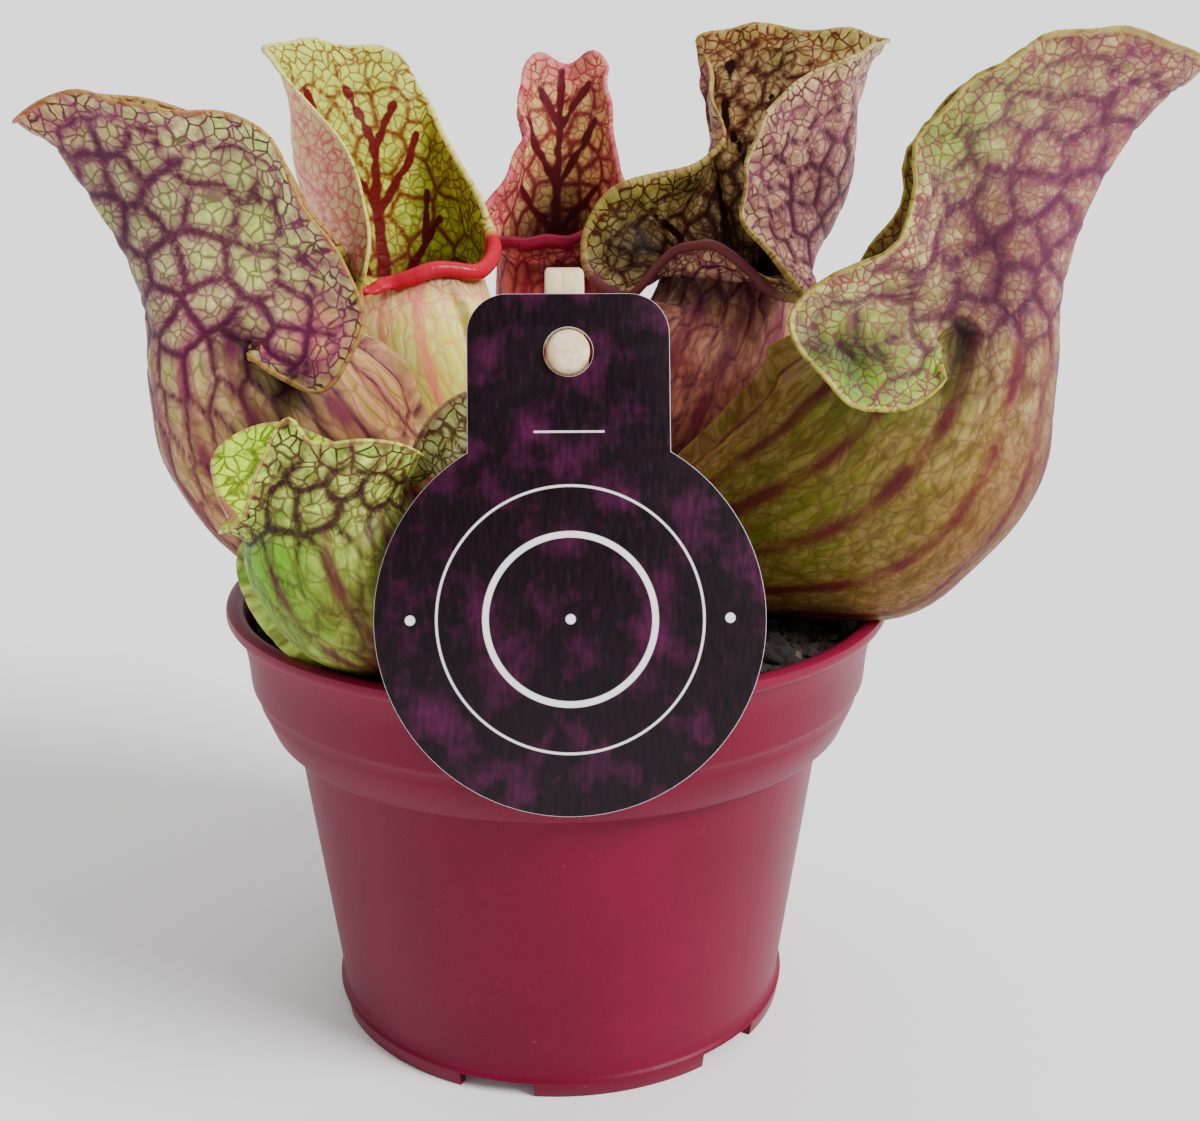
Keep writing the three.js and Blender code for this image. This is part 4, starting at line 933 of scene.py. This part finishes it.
leaves["pitcher_front_left"] = {
    "root": (*small_roots[0], crown_height),
    "azimuth": -12, "wing": 3,
    "body": [
        (5, 1.5, 2.5, 2.5, 0), (3, 5, 6, 6, 0), (-0.5, 10, 9, 8.7, 0), (-3, 15.5, 10.3, 9.5, 0),
        (-4, 19, 9.5, 9, 0)],
    "margin": [
        (-180, -15.5, 0, 19, 0.6), (-155, -14, -6, 19, 0.5), (-135, -10.5, -9, 21, 0.3),
        (-118, -7.5, -10, 27, 0.1), (-103, -4.6, -9, 32.3, 0), (-88, -2, -9.6, 30, 0.2),
        (-60, 3.5, -8.8, 30.6, 0.2), (-30, 7.2, -5.8, 29.3, 0.1), (0, 8, 0, 26.5, -0.1),
        (40, 3, 6, 25, 0.2), (75, -5, 8.8, 25.5, 0.5), (105, -12.5, 9, 27.8, 0.6),
        (130, -17.6, 7, 27.2, 0.6), (150, -19.3, 4, 24.5, 0.6), (166, -17.5, 1.5, 21, 0.6)],
    "cell": 5, "cell_stretch": 1.9, "vein_width": 1.1, "bleed": 2.2, "puff": 0.22, "ruffle": (0.2, 7),
    "stripes": [-150, -110, -70, -30, 0, 30, 70, 110, 150], "stripe_width": 0.7,
    "lip_from": (160, 175), "lip_radius": 0.45,
    "flush": [(0, 0.15, 180, 0.25, 1), (-60, 0.5, 50, 0.35, 0.4)],
    "lime": [(-120, 0.8, 50, 0.5, 1), (150, 1.8, 50, 0.5, 0.6)],
    "shade": [(-170, 1.1, 30, 0.15, 0.8), (-30, 0.75, 40, 0.5, 0.4)],
}

leaves["pitcher_front"] = {
    "root": (*small_roots[1], crown_height),
    "azimuth": 258, "wing": 2,
    "body": [
        (0, 0, 2.2, 2.2, 0), (1, 5, 4, 4, 0), (2.5, 11, 5.8, 5.6, 0), (4.5, 17, 6.4, 6, 0),
        (5.5, 22, 5.8, 5.6, 0)],
    "margin": [
        (-180, 0, 0, 26, 1), (-150, 1, -4, 26, 1), (-120, 4, -7.5, 24, 0.5), (-95, 6, -9.5, 20, 0.4),
        (-60, 9, -7.5, 25, 0.3), (-30, 11, -4.5, 29.5, 0.4), (0, 12, 0, 32.5, 0.5),
        (30, 11, 4.5, 32, 0.4), (60, 9, 8, 28, 0.4), (90, 7, 9.5, 24, 0.4), (120, 5, 7.5, 23, 0.5),
        (150, 1, 4, 26, 1)],
    "cell": 3.2, "cell_stretch": 2.2, "vein_width": 0.5, "puff": 0.18, "ruffle": (0.2, 6),
    "stripes": range(-120, 121, 60), "stripe_width": 0.6,
    "lip_from": (160, 175), "lip_radius": 0.45,
    "flush": [(0, 0.15, 180, 0.25, 0.8), (0, 2, 180, 0.08, 0.5)],
    "lime": [(60, 0.7, 60, 0.4, 0.6)],
    "shade": [],
}


def leaf_finish(name, shades, inside=False):
    """Waxy leaf skin: pale cells, a fine net, raised main veins, stripes on the jug, a coloured lip and
    painted shade.
    """
    wax = Finish(name)
    colour = {key: paint(code) for key, code in shades.items() if isinstance(code, str)}
    where = wax.drawn("places")["Vector"]
    read = {key: wax.drawn(key)["Fac"] for key in (
        "net", "halo", "stripes", "rise", "margin", "lip", "flush", "lime", "shade", "trunks")}
    cloud = wax.noise(where, 0.22, 3, 0.6)
    mottle = wax.noise(where, 0.75, 3, 0.6)
    grain = wax.noise(where, 2.6, 2, 0.6)
    cell = wax.mix(wax.steps(mottle, (0.38, 0.0), (0.62, 1.0)), colour["pale"], colour["green"])
    limed = wax.part(read["lime"], wax.steps(mottle, (0.2, 0.8), (0.6, 1.0)))
    cell = wax.mix(limed, cell, colour["lime"])
    flushed = wax.part(read["flush"], wax.steps(cloud, (0.3, 0.45), (0.65, 1.0)))
    cell = wax.mix(flushed, cell, colour["flush"])

    drift = wax.node("TexNoise", {"Vector": where, "Scale": 0.5}).outputs[1]
    bent = wax.node("VectorMath", {0: drift, 1: (0.9, 0.9, 0.9), 2: where}, operation="MULTIPLY_ADD")
    cell_size = 0.62 * shades.get("finer", 1)
    small, tiny = (wax.node("TexVoronoi", {"Vector": bent.outputs[0], "Scale": size},
                            feature="DISTANCE_TO_EDGE").outputs["Distance"]
                   for size in (cell_size, cell_size * 2.1))
    small_line = wax.steps(small, (0.03, 1.0), (0.13, 0.0))
    tiny_line = wax.steps(tiny, (0.0, 0.35), (0.1, 0.0))
    line = wax.sum("MAXIMUM", small_line, tiny_line)
    line = wax.part(line, wax.steps(wax.part(read["rise"], 0.5), (0.4, 0.55), (0.55, 1.0)))
    line = wax.part(line, wax.slope(read["margin"], 1.0, 7.0, 1.0, 0.75))
    cell = wax.mix(line, cell, colour["fine"])
    stripe = wax.part(wax.steps(read["stripes"], (0.1, 0.0), (0.8, 1.0)), 0.85)
    cell = wax.mix(stripe, cell, colour.get("stripe", colour["halo"]))

    soft = wax.part(read["halo"], wax.steps(mottle, (0.3, 0.6), (0.6, 1.0)))
    soft = wax.part(soft, wax.steps(limed, (0.0, 1.0), (1.0, 0.35)))
    cell = wax.mix(wax.part(soft, shades.get("blush", 0.7)), cell, colour["halo"])
    ribs = wax.part(read["net"], wax.steps(grain, (0.25, 0.72), (0.6, 1.0)))
    ribs = wax.part(wax.steps(ribs, (0.18, 0.0), (0.75, 1.0)), shades.get("bold", 0.9))
    cell = wax.mix(ribs, cell, colour["vein"])
    if inside:
        cell = wax.mix(wax.steps(read["trunks"], (0.3, 0.0), (0.55, 1.0)), cell, colour["trunk"])

    # Painted shade: the shade mask darkens the skin in the throat's hole, under lips and lobes and along
    # turned-away edges.
    dark = wax.part(read["shade"], wax.steps(cloud, (0.2, 0.75), (0.6, 1.0)))
    cell = wax.mix(dark, cell, colour["shade"])
    below = wax.slope(read["rise"], 0.6, 1.35, 1.0, 0.0)
    cell = wax.mix(below, cell, colour.get("jug", paint("#ffffff")), "MULTIPLY")
    foot = wax.slope(read["rise"], 0.0, shades.get("foot_to", 0.22), 1.0, 0.0)
    cell = wax.mix(wax.part(foot, wax.steps(cloud, (0.3, 0.5), (0.65, 0.95))), cell, colour["foot"])
    # Painted shade: inside the leaf the skin darkens towards the throat, below the rise set for each leaf.
    if inside:
        cell = wax.mix(wax.slope(read["rise"], shades["deep_to"], 1.0), cell, colour["deep"])
    edge = wax.steps(read["margin"], (0.08, 1.0), (0.42, 0.0))
    edge = wax.part(edge, wax.steps(read["rise"], (0.9, 0.0), (1.0, 1.0)))
    edge = wax.part(edge, wax.steps(mottle, (0.35, 0.2), (0.6, 0.7)))
    cell = wax.mix(edge, cell, colour["edge"])
    cell = wax.mix(wax.steps(read["lip"], (0.25, 0.0), (0.8, 1.0)), cell, colour["lip"])

    gloss = wax.steps(grain, (0.3, 0.38), (0.7, 0.55))
    wet = wax.node("Mix", {0: read["lip"], 2: gloss, 3: 0.2}).outputs[0]
    relief = wax.steps(small, (0.0, 0.0), (0.25, 1.0))
    wax.surface(Base_Color=cell, Roughness=wet, Specular_IOR_Level=0.1,
                Normal=wax.bump(wax.sum("ADD", relief, grain), 0.00008, 0.5))
    return wax.material


# Of these colours, shade is the dark of painted shade; each inside also gets a colour and a starting rise
# for the painted shade down into the throat.
shade_names = ("pale", "green", "lime", "flush", "fine", "halo", "vein", "shade", "foot", "edge", "lip")


def tints(codes, **more):
    """Names the eleven colours of one side of a leaf and adds what is its own."""
    return dict(zip(shade_names, codes.split()), **more)


leaf_colours = {
    "pitcher_left": (
        tints("#fcf4a8 #c0e068 #b8dc48 #dc2454 #3c161c #883060 #521438 #100306 #5c1418 #b06a3c #861a2c",
              foot_to=0.3, stripe="#84244c", jug="#cca8a4", blush=1),
        tints("#9c9838 #66741e #8fa32c #701820 #4a1412 #5c1420 #480812 #1a0404 #3c0c0c #b88a4c #861a2c",
              trunk="#3a060a", deep="#2c0608", deep_to=1.7)),
    "pitcher_back_left": (
        tints("#fff2c8 #f0e07c #b4c040 #ffb4a4 #dc6468 #ff9ca4 #c03858 #5c0e12 #8a2420 #fff0b0 #b0182e",
              stripe="#e87888", jug="#f8fcc0", bold=0.6, blush=0.4),
        tints("#d0d84c #94ac2c #bccc50 #a8802c #6e3c14 #8a6a1c #64100a #4a0606 #3c0c0c #e6dc80 #b0182e",
              trunk="#5c0808", deep="#560a0c", deep_to=1.25, blush=0.4)),
    "pitcher_back": (
        tints("#e07c74 #b46c4c #8c8430 #b82c50 #701428 #941c3c #5c0a22 #2c060e #4c0e12 #d8707c #7c1430",
              blush=0.7),
        tints("#f4d07c #cab464 #b0b444 #c83c60 #8a2430 #a83c4c #6c1424 #1e0406 #3c0c0c #c85c70 #7c1430",
              trunk="#54101a", deep="#3a080c", deep_to=1.5)),
    "pitcher_back_right": (
        tints("#f4cc98 #a07c58 #94a040 #943c58 #50202c #8c4460 #3c1024 #1c060c #400c10 #d8c480 #6c3038",
              stripe="#6c1c34", jug="#c8a0a0", blush=0.8),
        tints("#f0d090 #a8884c #a0a838 #4c1008 #501810 #64201c #38080a #120202 #280606 #a89048 #70383e",
              trunk="#200304", deep="#200404", deep_to=1.5)),
    "pitcher_right": (
        tints("#ecdc98 #a8a444 #78c414 #8c3840 #884440 #6e324e #4c1c38 #160609 #70201c #c8b464 #86282c",
              foot_to=0.3, finer=1.3, bold=0.7, stripe="#8c2438", jug="#a89078", blush=1),
        tints("#8f8c30 #66741e #8fa32c #701820 #4a1412 #5c1420 #480812 #1a0404 #3c0c0c #b8a84c #86282c",
              trunk="#3a060a", deep="#2c0608", deep_to=1.7)),
    "pitcher_front_left": (
        tints("#d4ec68 #80a82c #68b414 #5c0e18 #38200c #5c2430 #2c0614 #241004 #4c0a14 #a06c48 #a0644c",
              foot_to=1, blush=0.7),
        tints("#d0f818 #b0e40c #ccf028 #6c8c10 #5c7010 #7c9418 #505c10 #2c2408 #28180a #a87c5c #a0644c",
              trunk="#3c1c08", deep="#301808", deep_to=1.35, blush=0.3)),
    "pitcher_front": (
        tints("#fffcb8 #e0ec88 #c4e860 #984c3c #684428 #88603c #5c2c1c #2c200a #4c1c14 #fcc0a8 #b07866",
              blush=0.4),
        tints("#aab054 #869038 #a0b048 #7c5030 #645020 #74682c #583418 #2c200a #382410 #cc9484 #b07866",
              trunk="#481c10", deep="#30200c", deep_to=1.3, blush=0.3)),
}
small_leaves = ("pitcher_front_left", "pitcher_front")
for node, leaf in leaves.items():
    counts = {"around": 110, "body_rows": 52, "hood_rows": 50} if node in small_leaves else {}
    piece = leaf_piece(node + "_leaf", usual | leaf, **counts)
    outer_tints, inner_tints = leaf_colours[node]
    piece.data.materials.append(leaf_finish(node + "_outside", outer_tints))
    piece.data.materials.append(leaf_finish(node + "_inside", inner_tints, inside=True))
    seat(piece, node)

# Label card: a round plastic tag on a square neck, die-cut from white sheet and printed on its face in
# mottled aubergine with two white rings, three dots and a short rule. It hangs on the peg and leans back
# from the pot's rim.
card_thickness = 0.8
card_disc_radius = 21.6
card_middle = 1.3
card_bottom = 48.4
card_length = 57.7
card_neck = 22.5
card_corner = 4.5
card_lean = np.radians(19)
peg_hole_radius = 2.75
peg_along_card = 51.2
rim_gap = 0.3
card_back = np.array([card_middle, -(rim_radius + rim_gap) - (pot_height - card_bottom) * np.tan(card_lean),
                      card_bottom])


def on_card(points):
    """Points from the card's own plane (across, up, out of the printed face) to where the card hangs."""
    across, up, out = np.asarray(points, float).T
    tip = np.pi / 2 - card_lean
    return card_back + np.stack([across, up * np.cos(tip) - out * np.sin(tip),
                                 up * np.sin(tip) + out * np.cos(tip)], -1)


def arc(middle, radius, start, end, count):
    """Points on part of a circle."""
    turn = np.linspace(start, end, count)
    return np.column_stack([middle[0] + radius * np.cos(turn), middle[1] + radius * np.sin(turn)])


half = card_neck / 2
joined = np.arccos(half / card_disc_radius)
card_outline = np.vstack([
    arc((0, card_disc_radius), card_disc_radius, np.pi - joined, 2 * np.pi + joined, 150),
    arc((half - card_corner, card_length - card_corner), card_corner, 0, np.pi / 2, 18),
    arc((card_corner - half, card_length - card_corner), card_corner, np.pi / 2, np.pi, 18)])
hole_outline = arc((0, peg_along_card), peg_hole_radius, 0, 2 * np.pi, 49)[:-1]
card_curve = bpy.data.curves.new("card_outline", "CURVE")
card_curve.dimensions = "2D"
card_curve.fill_mode = "BOTH"
for outline in (card_outline, hole_outline):
    line = card_curve.splines.new("POLY")
    line.points.add(len(outline) - 1)
    line.points.foreach_set("co", np.column_stack([outline, outline * 0 + (0, 1)]).ravel())
    line.use_cyclic_u = True
edge_round = 0.12
card_curve.extrude = card_thickness / 2 - edge_round
card_curve.bevel_depth = edge_round
card_curve.bevel_resolution = 2
card_curve.offset = -edge_round
drawn = bpy.data.objects.new("card_drawn", card_curve)
bpy.context.scene.collection.objects.link(drawn)
card_mesh = bpy.data.meshes.new_from_object(drawn.evaluated_get(bpy.context.evaluated_depsgraph_get()))
bpy.data.objects.remove(drawn)
flat = np.empty(len(card_mesh.vertices) * 3, np.float32)
card_mesh.vertices.foreach_get("co", flat)
flat = flat.reshape(-1, 3)
flat[:, 2] += card_thickness / 2
faces = [list(face.vertices) for face in card_mesh.polygons]
card = add_mesh("hang_label", on_card(flat), faces)
merge = card.modifiers.new("joined", "WELD")
merge.merge_threshold = 0.00001
bpy.context.view_layer.objects.active = card
bpy.ops.object.modifier_apply(modifier="joined")
card.data.set_sharp_from_angle(angle=np.radians(35))
card_spots = card.data.attributes.new("on_card", "FLOAT_VECTOR", "POINT")
placed = np.empty(len(card.data.vertices) * 3, np.float32)
card.data.vertices.foreach_get("co", placed)
from_back = (placed.reshape(-1, 3) - pot_axis) / MM - card_back
tip = np.pi / 2 - card_lean
own = np.stack([from_back[:, 0], from_back[:, 1] * np.cos(tip) + from_back[:, 2] * np.sin(tip),
                from_back[:, 2] * np.cos(tip) - from_back[:, 1] * np.sin(tip)], -1)
card_spots.data.foreach_set("vector", own.astype(np.float32).reshape(-1))

ink_finish = Finish("printed_card")
flat = ink_finish.drawn("on_card")["Vector"]
apart = ink_finish.node("SeparateXYZ", {0: flat}).outputs
brush = ink_finish.node("Mapping", {"Vector": flat, "Scale": (1.6, 0.35, 1)}).outputs[0]
strokes = ink_finish.noise(brush, 1.1, 4, 0.65)
blotch = ink_finish.noise(flat, 0.16, 3, 0.55)
glow = ink_finish.steps(blotch, (0.5, 0.0), (0.68, 1.0))
ink = ink_finish.steps(strokes, (0.36, paint("#080206")), (0.6, paint("#160410")),
                       (0.72, paint("#260820")))
glow = ink_finish.part(glow, ink_finish.steps(strokes, (0.3, 0.35), (0.65, 0.95)))
ink = ink_finish.mix(glow, ink, paint("#4a0c38"))
ring_bands = ((14.6, 14.85), (9.0, 9.7))
dot_radius = 0.55
dot_places = (-17.6, 17.6, 0)
rule_half = 3.9
rule_up = 42.3
rule_thick = 0.1


def band(value, low, high, soft=0.06):
    """1 where the value lies between two sizes."""
    up = ink_finish.slope(value, low - soft, low + soft)
    return ink_finish.part(up, ink_finish.slope(value, high - soft, high + soft, 1.0, 0.0))


def circle_distance(x):
    """How far a point of the face is from a spot on the level line through the disc's middle."""
    across = ink_finish.sum("POWER", ink_finish.sum("SUBTRACT", apart[0], x), 2.0)
    up = ink_finish.sum("POWER", ink_finish.sum("SUBTRACT", apart[1], card_disc_radius), 2.0)
    return ink_finish.sum("SQRT", ink_finish.sum("ADD", across, up), 0.0)


from_middle = circle_distance(0)
shapes = [band(from_middle, low, high) for low, high in ring_bands]
shapes += [band(circle_distance(x), -1, dot_radius) for x in dot_places]
shapes.append(ink_finish.part(band(apart[0], -rule_half, rule_half),
                              band(apart[1], rule_up - rule_thick, rule_up + rule_thick)))
drawing = shapes[0]
for shape in shapes[1:]:
    drawing = ink_finish.sum("MAXIMUM", drawing, shape)
ink = ink_finish.mix(drawing, ink, paint("#e9e4e6"))
face = ink_finish.slope(apart[2], card_thickness - 0.05, card_thickness - 0.02)
ink = ink_finish.mix(face, paint("#e6dfe2"), ink)
ink_finish.surface(Base_Color=ink, Specular_IOR_Level=0.18,
                   Roughness=ink_finish.steps(strokes, (0.2, 0.30), (0.8, 0.42)),
                   Normal=ink_finish.bump(strokes, 0.00003, 0.4))
card.data.materials.append(ink_finish.material)
seat(card, "label_card")

# Stake and peg: the label hangs on a turned softwood peg that is glued into a square sawn stake. Both
# are bare pale wood with straight grain, rubbed round at the edges, and the stake is pushed in the peat.
peg_radius = 2.35
peg_proud = 1.4
peg_behind_card = 5.5
stake_width = 4.3
stake_middle = 0.9
stake_top = 105.6
stake_bottom = 24
stake_lean = np.radians(1.5)
stake_point = 6
stake_tip_half = 0.6
card_to_stake = 0.4
wood_edge = 0.35
peg_sides = 64
stake_front = card_back[1] + card_length * np.sin(card_lean) + card_to_stake
peg_profile = [(0, peg_proud), (peg_radius - 0.9, peg_proud - 0.02), (peg_radius - 0.35, peg_proud - 0.12),
               (peg_radius - 0.08, peg_proud - 0.4), (peg_radius, peg_proud - 0.8),
               (peg_radius, -card_thickness - peg_behind_card), (0, -card_thickness - peg_behind_card)]
turn = 2 * np.pi * np.arange(peg_sides) / peg_sides
peg_points = [on_card([(0, peg_along_card, card_thickness + peg_proud)])]
peg_faces = []
for radius, out in peg_profile[1:-1]:
    wobble = radius * (1 + 0.008 * np.sin(3 * turn + 1))
    ring = [wobble * np.cos(turn), peg_along_card + wobble * np.sin(turn), turn * 0 + card_thickness + out]
    peg_points.append(on_card(np.column_stack(ring)))
peg_points.append(on_card([(0, peg_along_card, -peg_behind_card)]))
last = 1 + peg_sides * (len(peg_profile) - 2)
for i in range(peg_sides):
    j = (i + 1) % peg_sides
    peg_faces.append((0, 1 + i, 1 + j))
    for low in range(1, last - peg_sides, peg_sides):
        peg_faces.append((low + i, low + peg_sides + i, low + peg_sides + j, low + j))
    peg_faces.append((last, last - peg_sides + j, last - peg_sides + i))
peg = add_mesh("label_pin", np.vstack(peg_points), peg_faces)
peg.data.set_sharp_from_angle(angle=np.radians(50))

stake_rows = [(stake_bottom, stake_tip_half), (stake_bottom + stake_point, stake_width / 2)]
stake_rows += [(z, stake_width / 2)
               for z in np.linspace(stake_bottom + stake_point + 4, stake_top - 0.5, 30)]
stake_rows += [(stake_top - 0.2, stake_width / 2 - 0.08), (stake_top, stake_width / 2 - 0.3)]
corner = wood_edge * np.array([1 - np.cos(t) for t in np.linspace(0, np.pi / 2, 4)])
corner_side = wood_edge * np.array([1 - np.sin(t) for t in np.linspace(0, np.pi / 2, 4)])
stake_points = []
for z, reach in stake_rows:
    ring = []
    for k in range(4):
        turn = k * np.pi / 2
        for a, b in zip(corner, corner_side):
            x, y = reach - a, reach - b
            ring.append((x * np.cos(turn) - y * np.sin(turn), x * np.sin(turn) + y * np.cos(turn), z))
    stake_points.append(ring)
stake_points = np.array(stake_points)
stake_points[..., 1] = np.where(stake_points[..., 2] < stake_bottom + stake_point - 0.1,
                                np.sign(stake_points[..., 1]) * stake_width / 2, stake_points[..., 1])
stake_points[..., :2] += 0.05 * np.stack([wave_field(*stake_points.transpose(2, 0, 1), 7, 60 + k)
                                          for k in range(2)], -1)
from_top = stake_points[..., 2] - stake_top
forward = stake_points[..., 1].copy()
stake_points[..., 0] += stake_middle
stake_points[..., 1] = (stake_front + stake_width / 2 + forward * np.cos(stake_lean)
                        + from_top * np.sin(stake_lean))
stake_points[..., 2] = stake_top + from_top * np.cos(stake_lean) - forward * np.sin(stake_lean)
rows, sides = stake_points.shape[:2]
stake_faces = []
for k in range(rows - 1):
    stake_faces += belt(k * sides, (k + 1) * sides, sides)
stake_faces += [tuple(range(sides - 1, -1, -1)), tuple(range((rows - 1) * sides, rows * sides))]
stake = add_mesh("wooden_stake", stake_points.reshape(-1, 3), stake_faces)
stake.data.set_sharp_from_angle(angle=np.radians(50))

for piece, node, stretch in ((stake, "label_stake", (1, 1, 0.06)), (peg, "label_peg", (1, 0.1, 1))):
    wood = Finish(node + "_softwood")
    where = wood.place(stretch)
    grain = wood.noise(where, 900, 4, 0.6)
    rings = wood.noise(where, 260, 2)
    colour = wood.steps(grain, (0.3, paint("#cdb184")), (0.55, paint("#e6d3a8")), (0.8, paint("#f0e4c4")))
    colour = wood.mix(wood.part(wood.steps(rings, (0.5, 0.0), (0.62, 1.0)), 0.35), colour,
                      paint("#c39f68"))
    wood.surface(Base_Color=colour, Roughness=0.68, Normal=wood.bump(grain, 0.00012, 0.7))
    piece.data.materials.append(wood.material)
    seat(piece, node)

# Studio: a pale seamless floor, a large soft lamp high on the right, a weaker one on the left and a soft
# one above, all white, with a camera a little above the pot that looks slightly down.
camera_place = pot_axis + np.array([0, -200, 122.3]) * MM
camera_down = np.radians(16.5)
camera_right = np.radians(1.65)
camera_lens = 45.23
film_width = 36
room_edge = 1.75
room_top = 0.36
floor_half = 25.0
fade_from = 0.06
fade_to = 0.4
floor = add_mesh("studio_floor", [(x * floor_half / MM, y * floor_half / MM, 0)
                                  for x, y in ((-1, -1), (1, -1), (1, 1), (-1, 1))], [(0, 1, 2, 3)])
paper = Finish("studio_paper")
paper.surface(Base_Color=(0.97, 0.97, 0.97, 1), Roughness=0.9, Specular_IOR_Level=0.1)
floor.data.materials.append(paper.material)


def lamp(name, place, width, strength):
    """A soft white lamp far away on the given side, as wide as the given angle in degrees."""
    light = bpy.data.lights.new(name, "SUN")
    light.angle = np.radians(width)
    light.energy = strength
    holder = bpy.data.objects.new(name, light)
    holder.location = place
    holder.rotation_euler = (-holder.location).to_track_quat("-Z", "Y").to_euler()
    bpy.context.scene.collection.objects.link(holder)


lamp("soft_right", (0.70, -0.40, 0.60), 26, 5.2)
lamp("soft_left", (-0.75, -0.5, 0.4), 45, 0.2)
lamp("soft_top", (0.0, 0.4, 0.9), 80, 1.4)
sky = bpy.data.worlds.new("pale_room")
bpy.context.scene.world = sky
sky.use_nodes = True
room = sky.node_tree.nodes
side = room.new("ShaderNodeTexCoord")
split = room.new("ShaderNodeSeparateXYZ")
fade = room.new("ShaderNodeMapRange")
sky.node_tree.links.new(side.outputs["Generated"], split.inputs[0])
sky.node_tree.links.new(split.outputs["Z"], fade.inputs[0])
sky.node_tree.links.new(fade.outputs[0], room["Background"].inputs["Strength"])
for socket, number in ((1, fade_from), (2, fade_to), (3, room_edge), (4, room_top)):
    fade.inputs[socket].default_value = number
room["Background"].inputs["Color"].default_value = (1, 1, 1, 1)
view = bpy.data.cameras.new("front_view")
view.lens = camera_lens
view.sensor_width = film_width
view.clip_start = 0.01
camera = bpy.data.objects.new("front_view", view)
camera.location = camera_place
camera.rotation_euler = (np.pi / 2 - camera_down, 0, -camera_right)
bpy.context.scene.collection.objects.link(camera)
bpy.context.scene.camera = camera
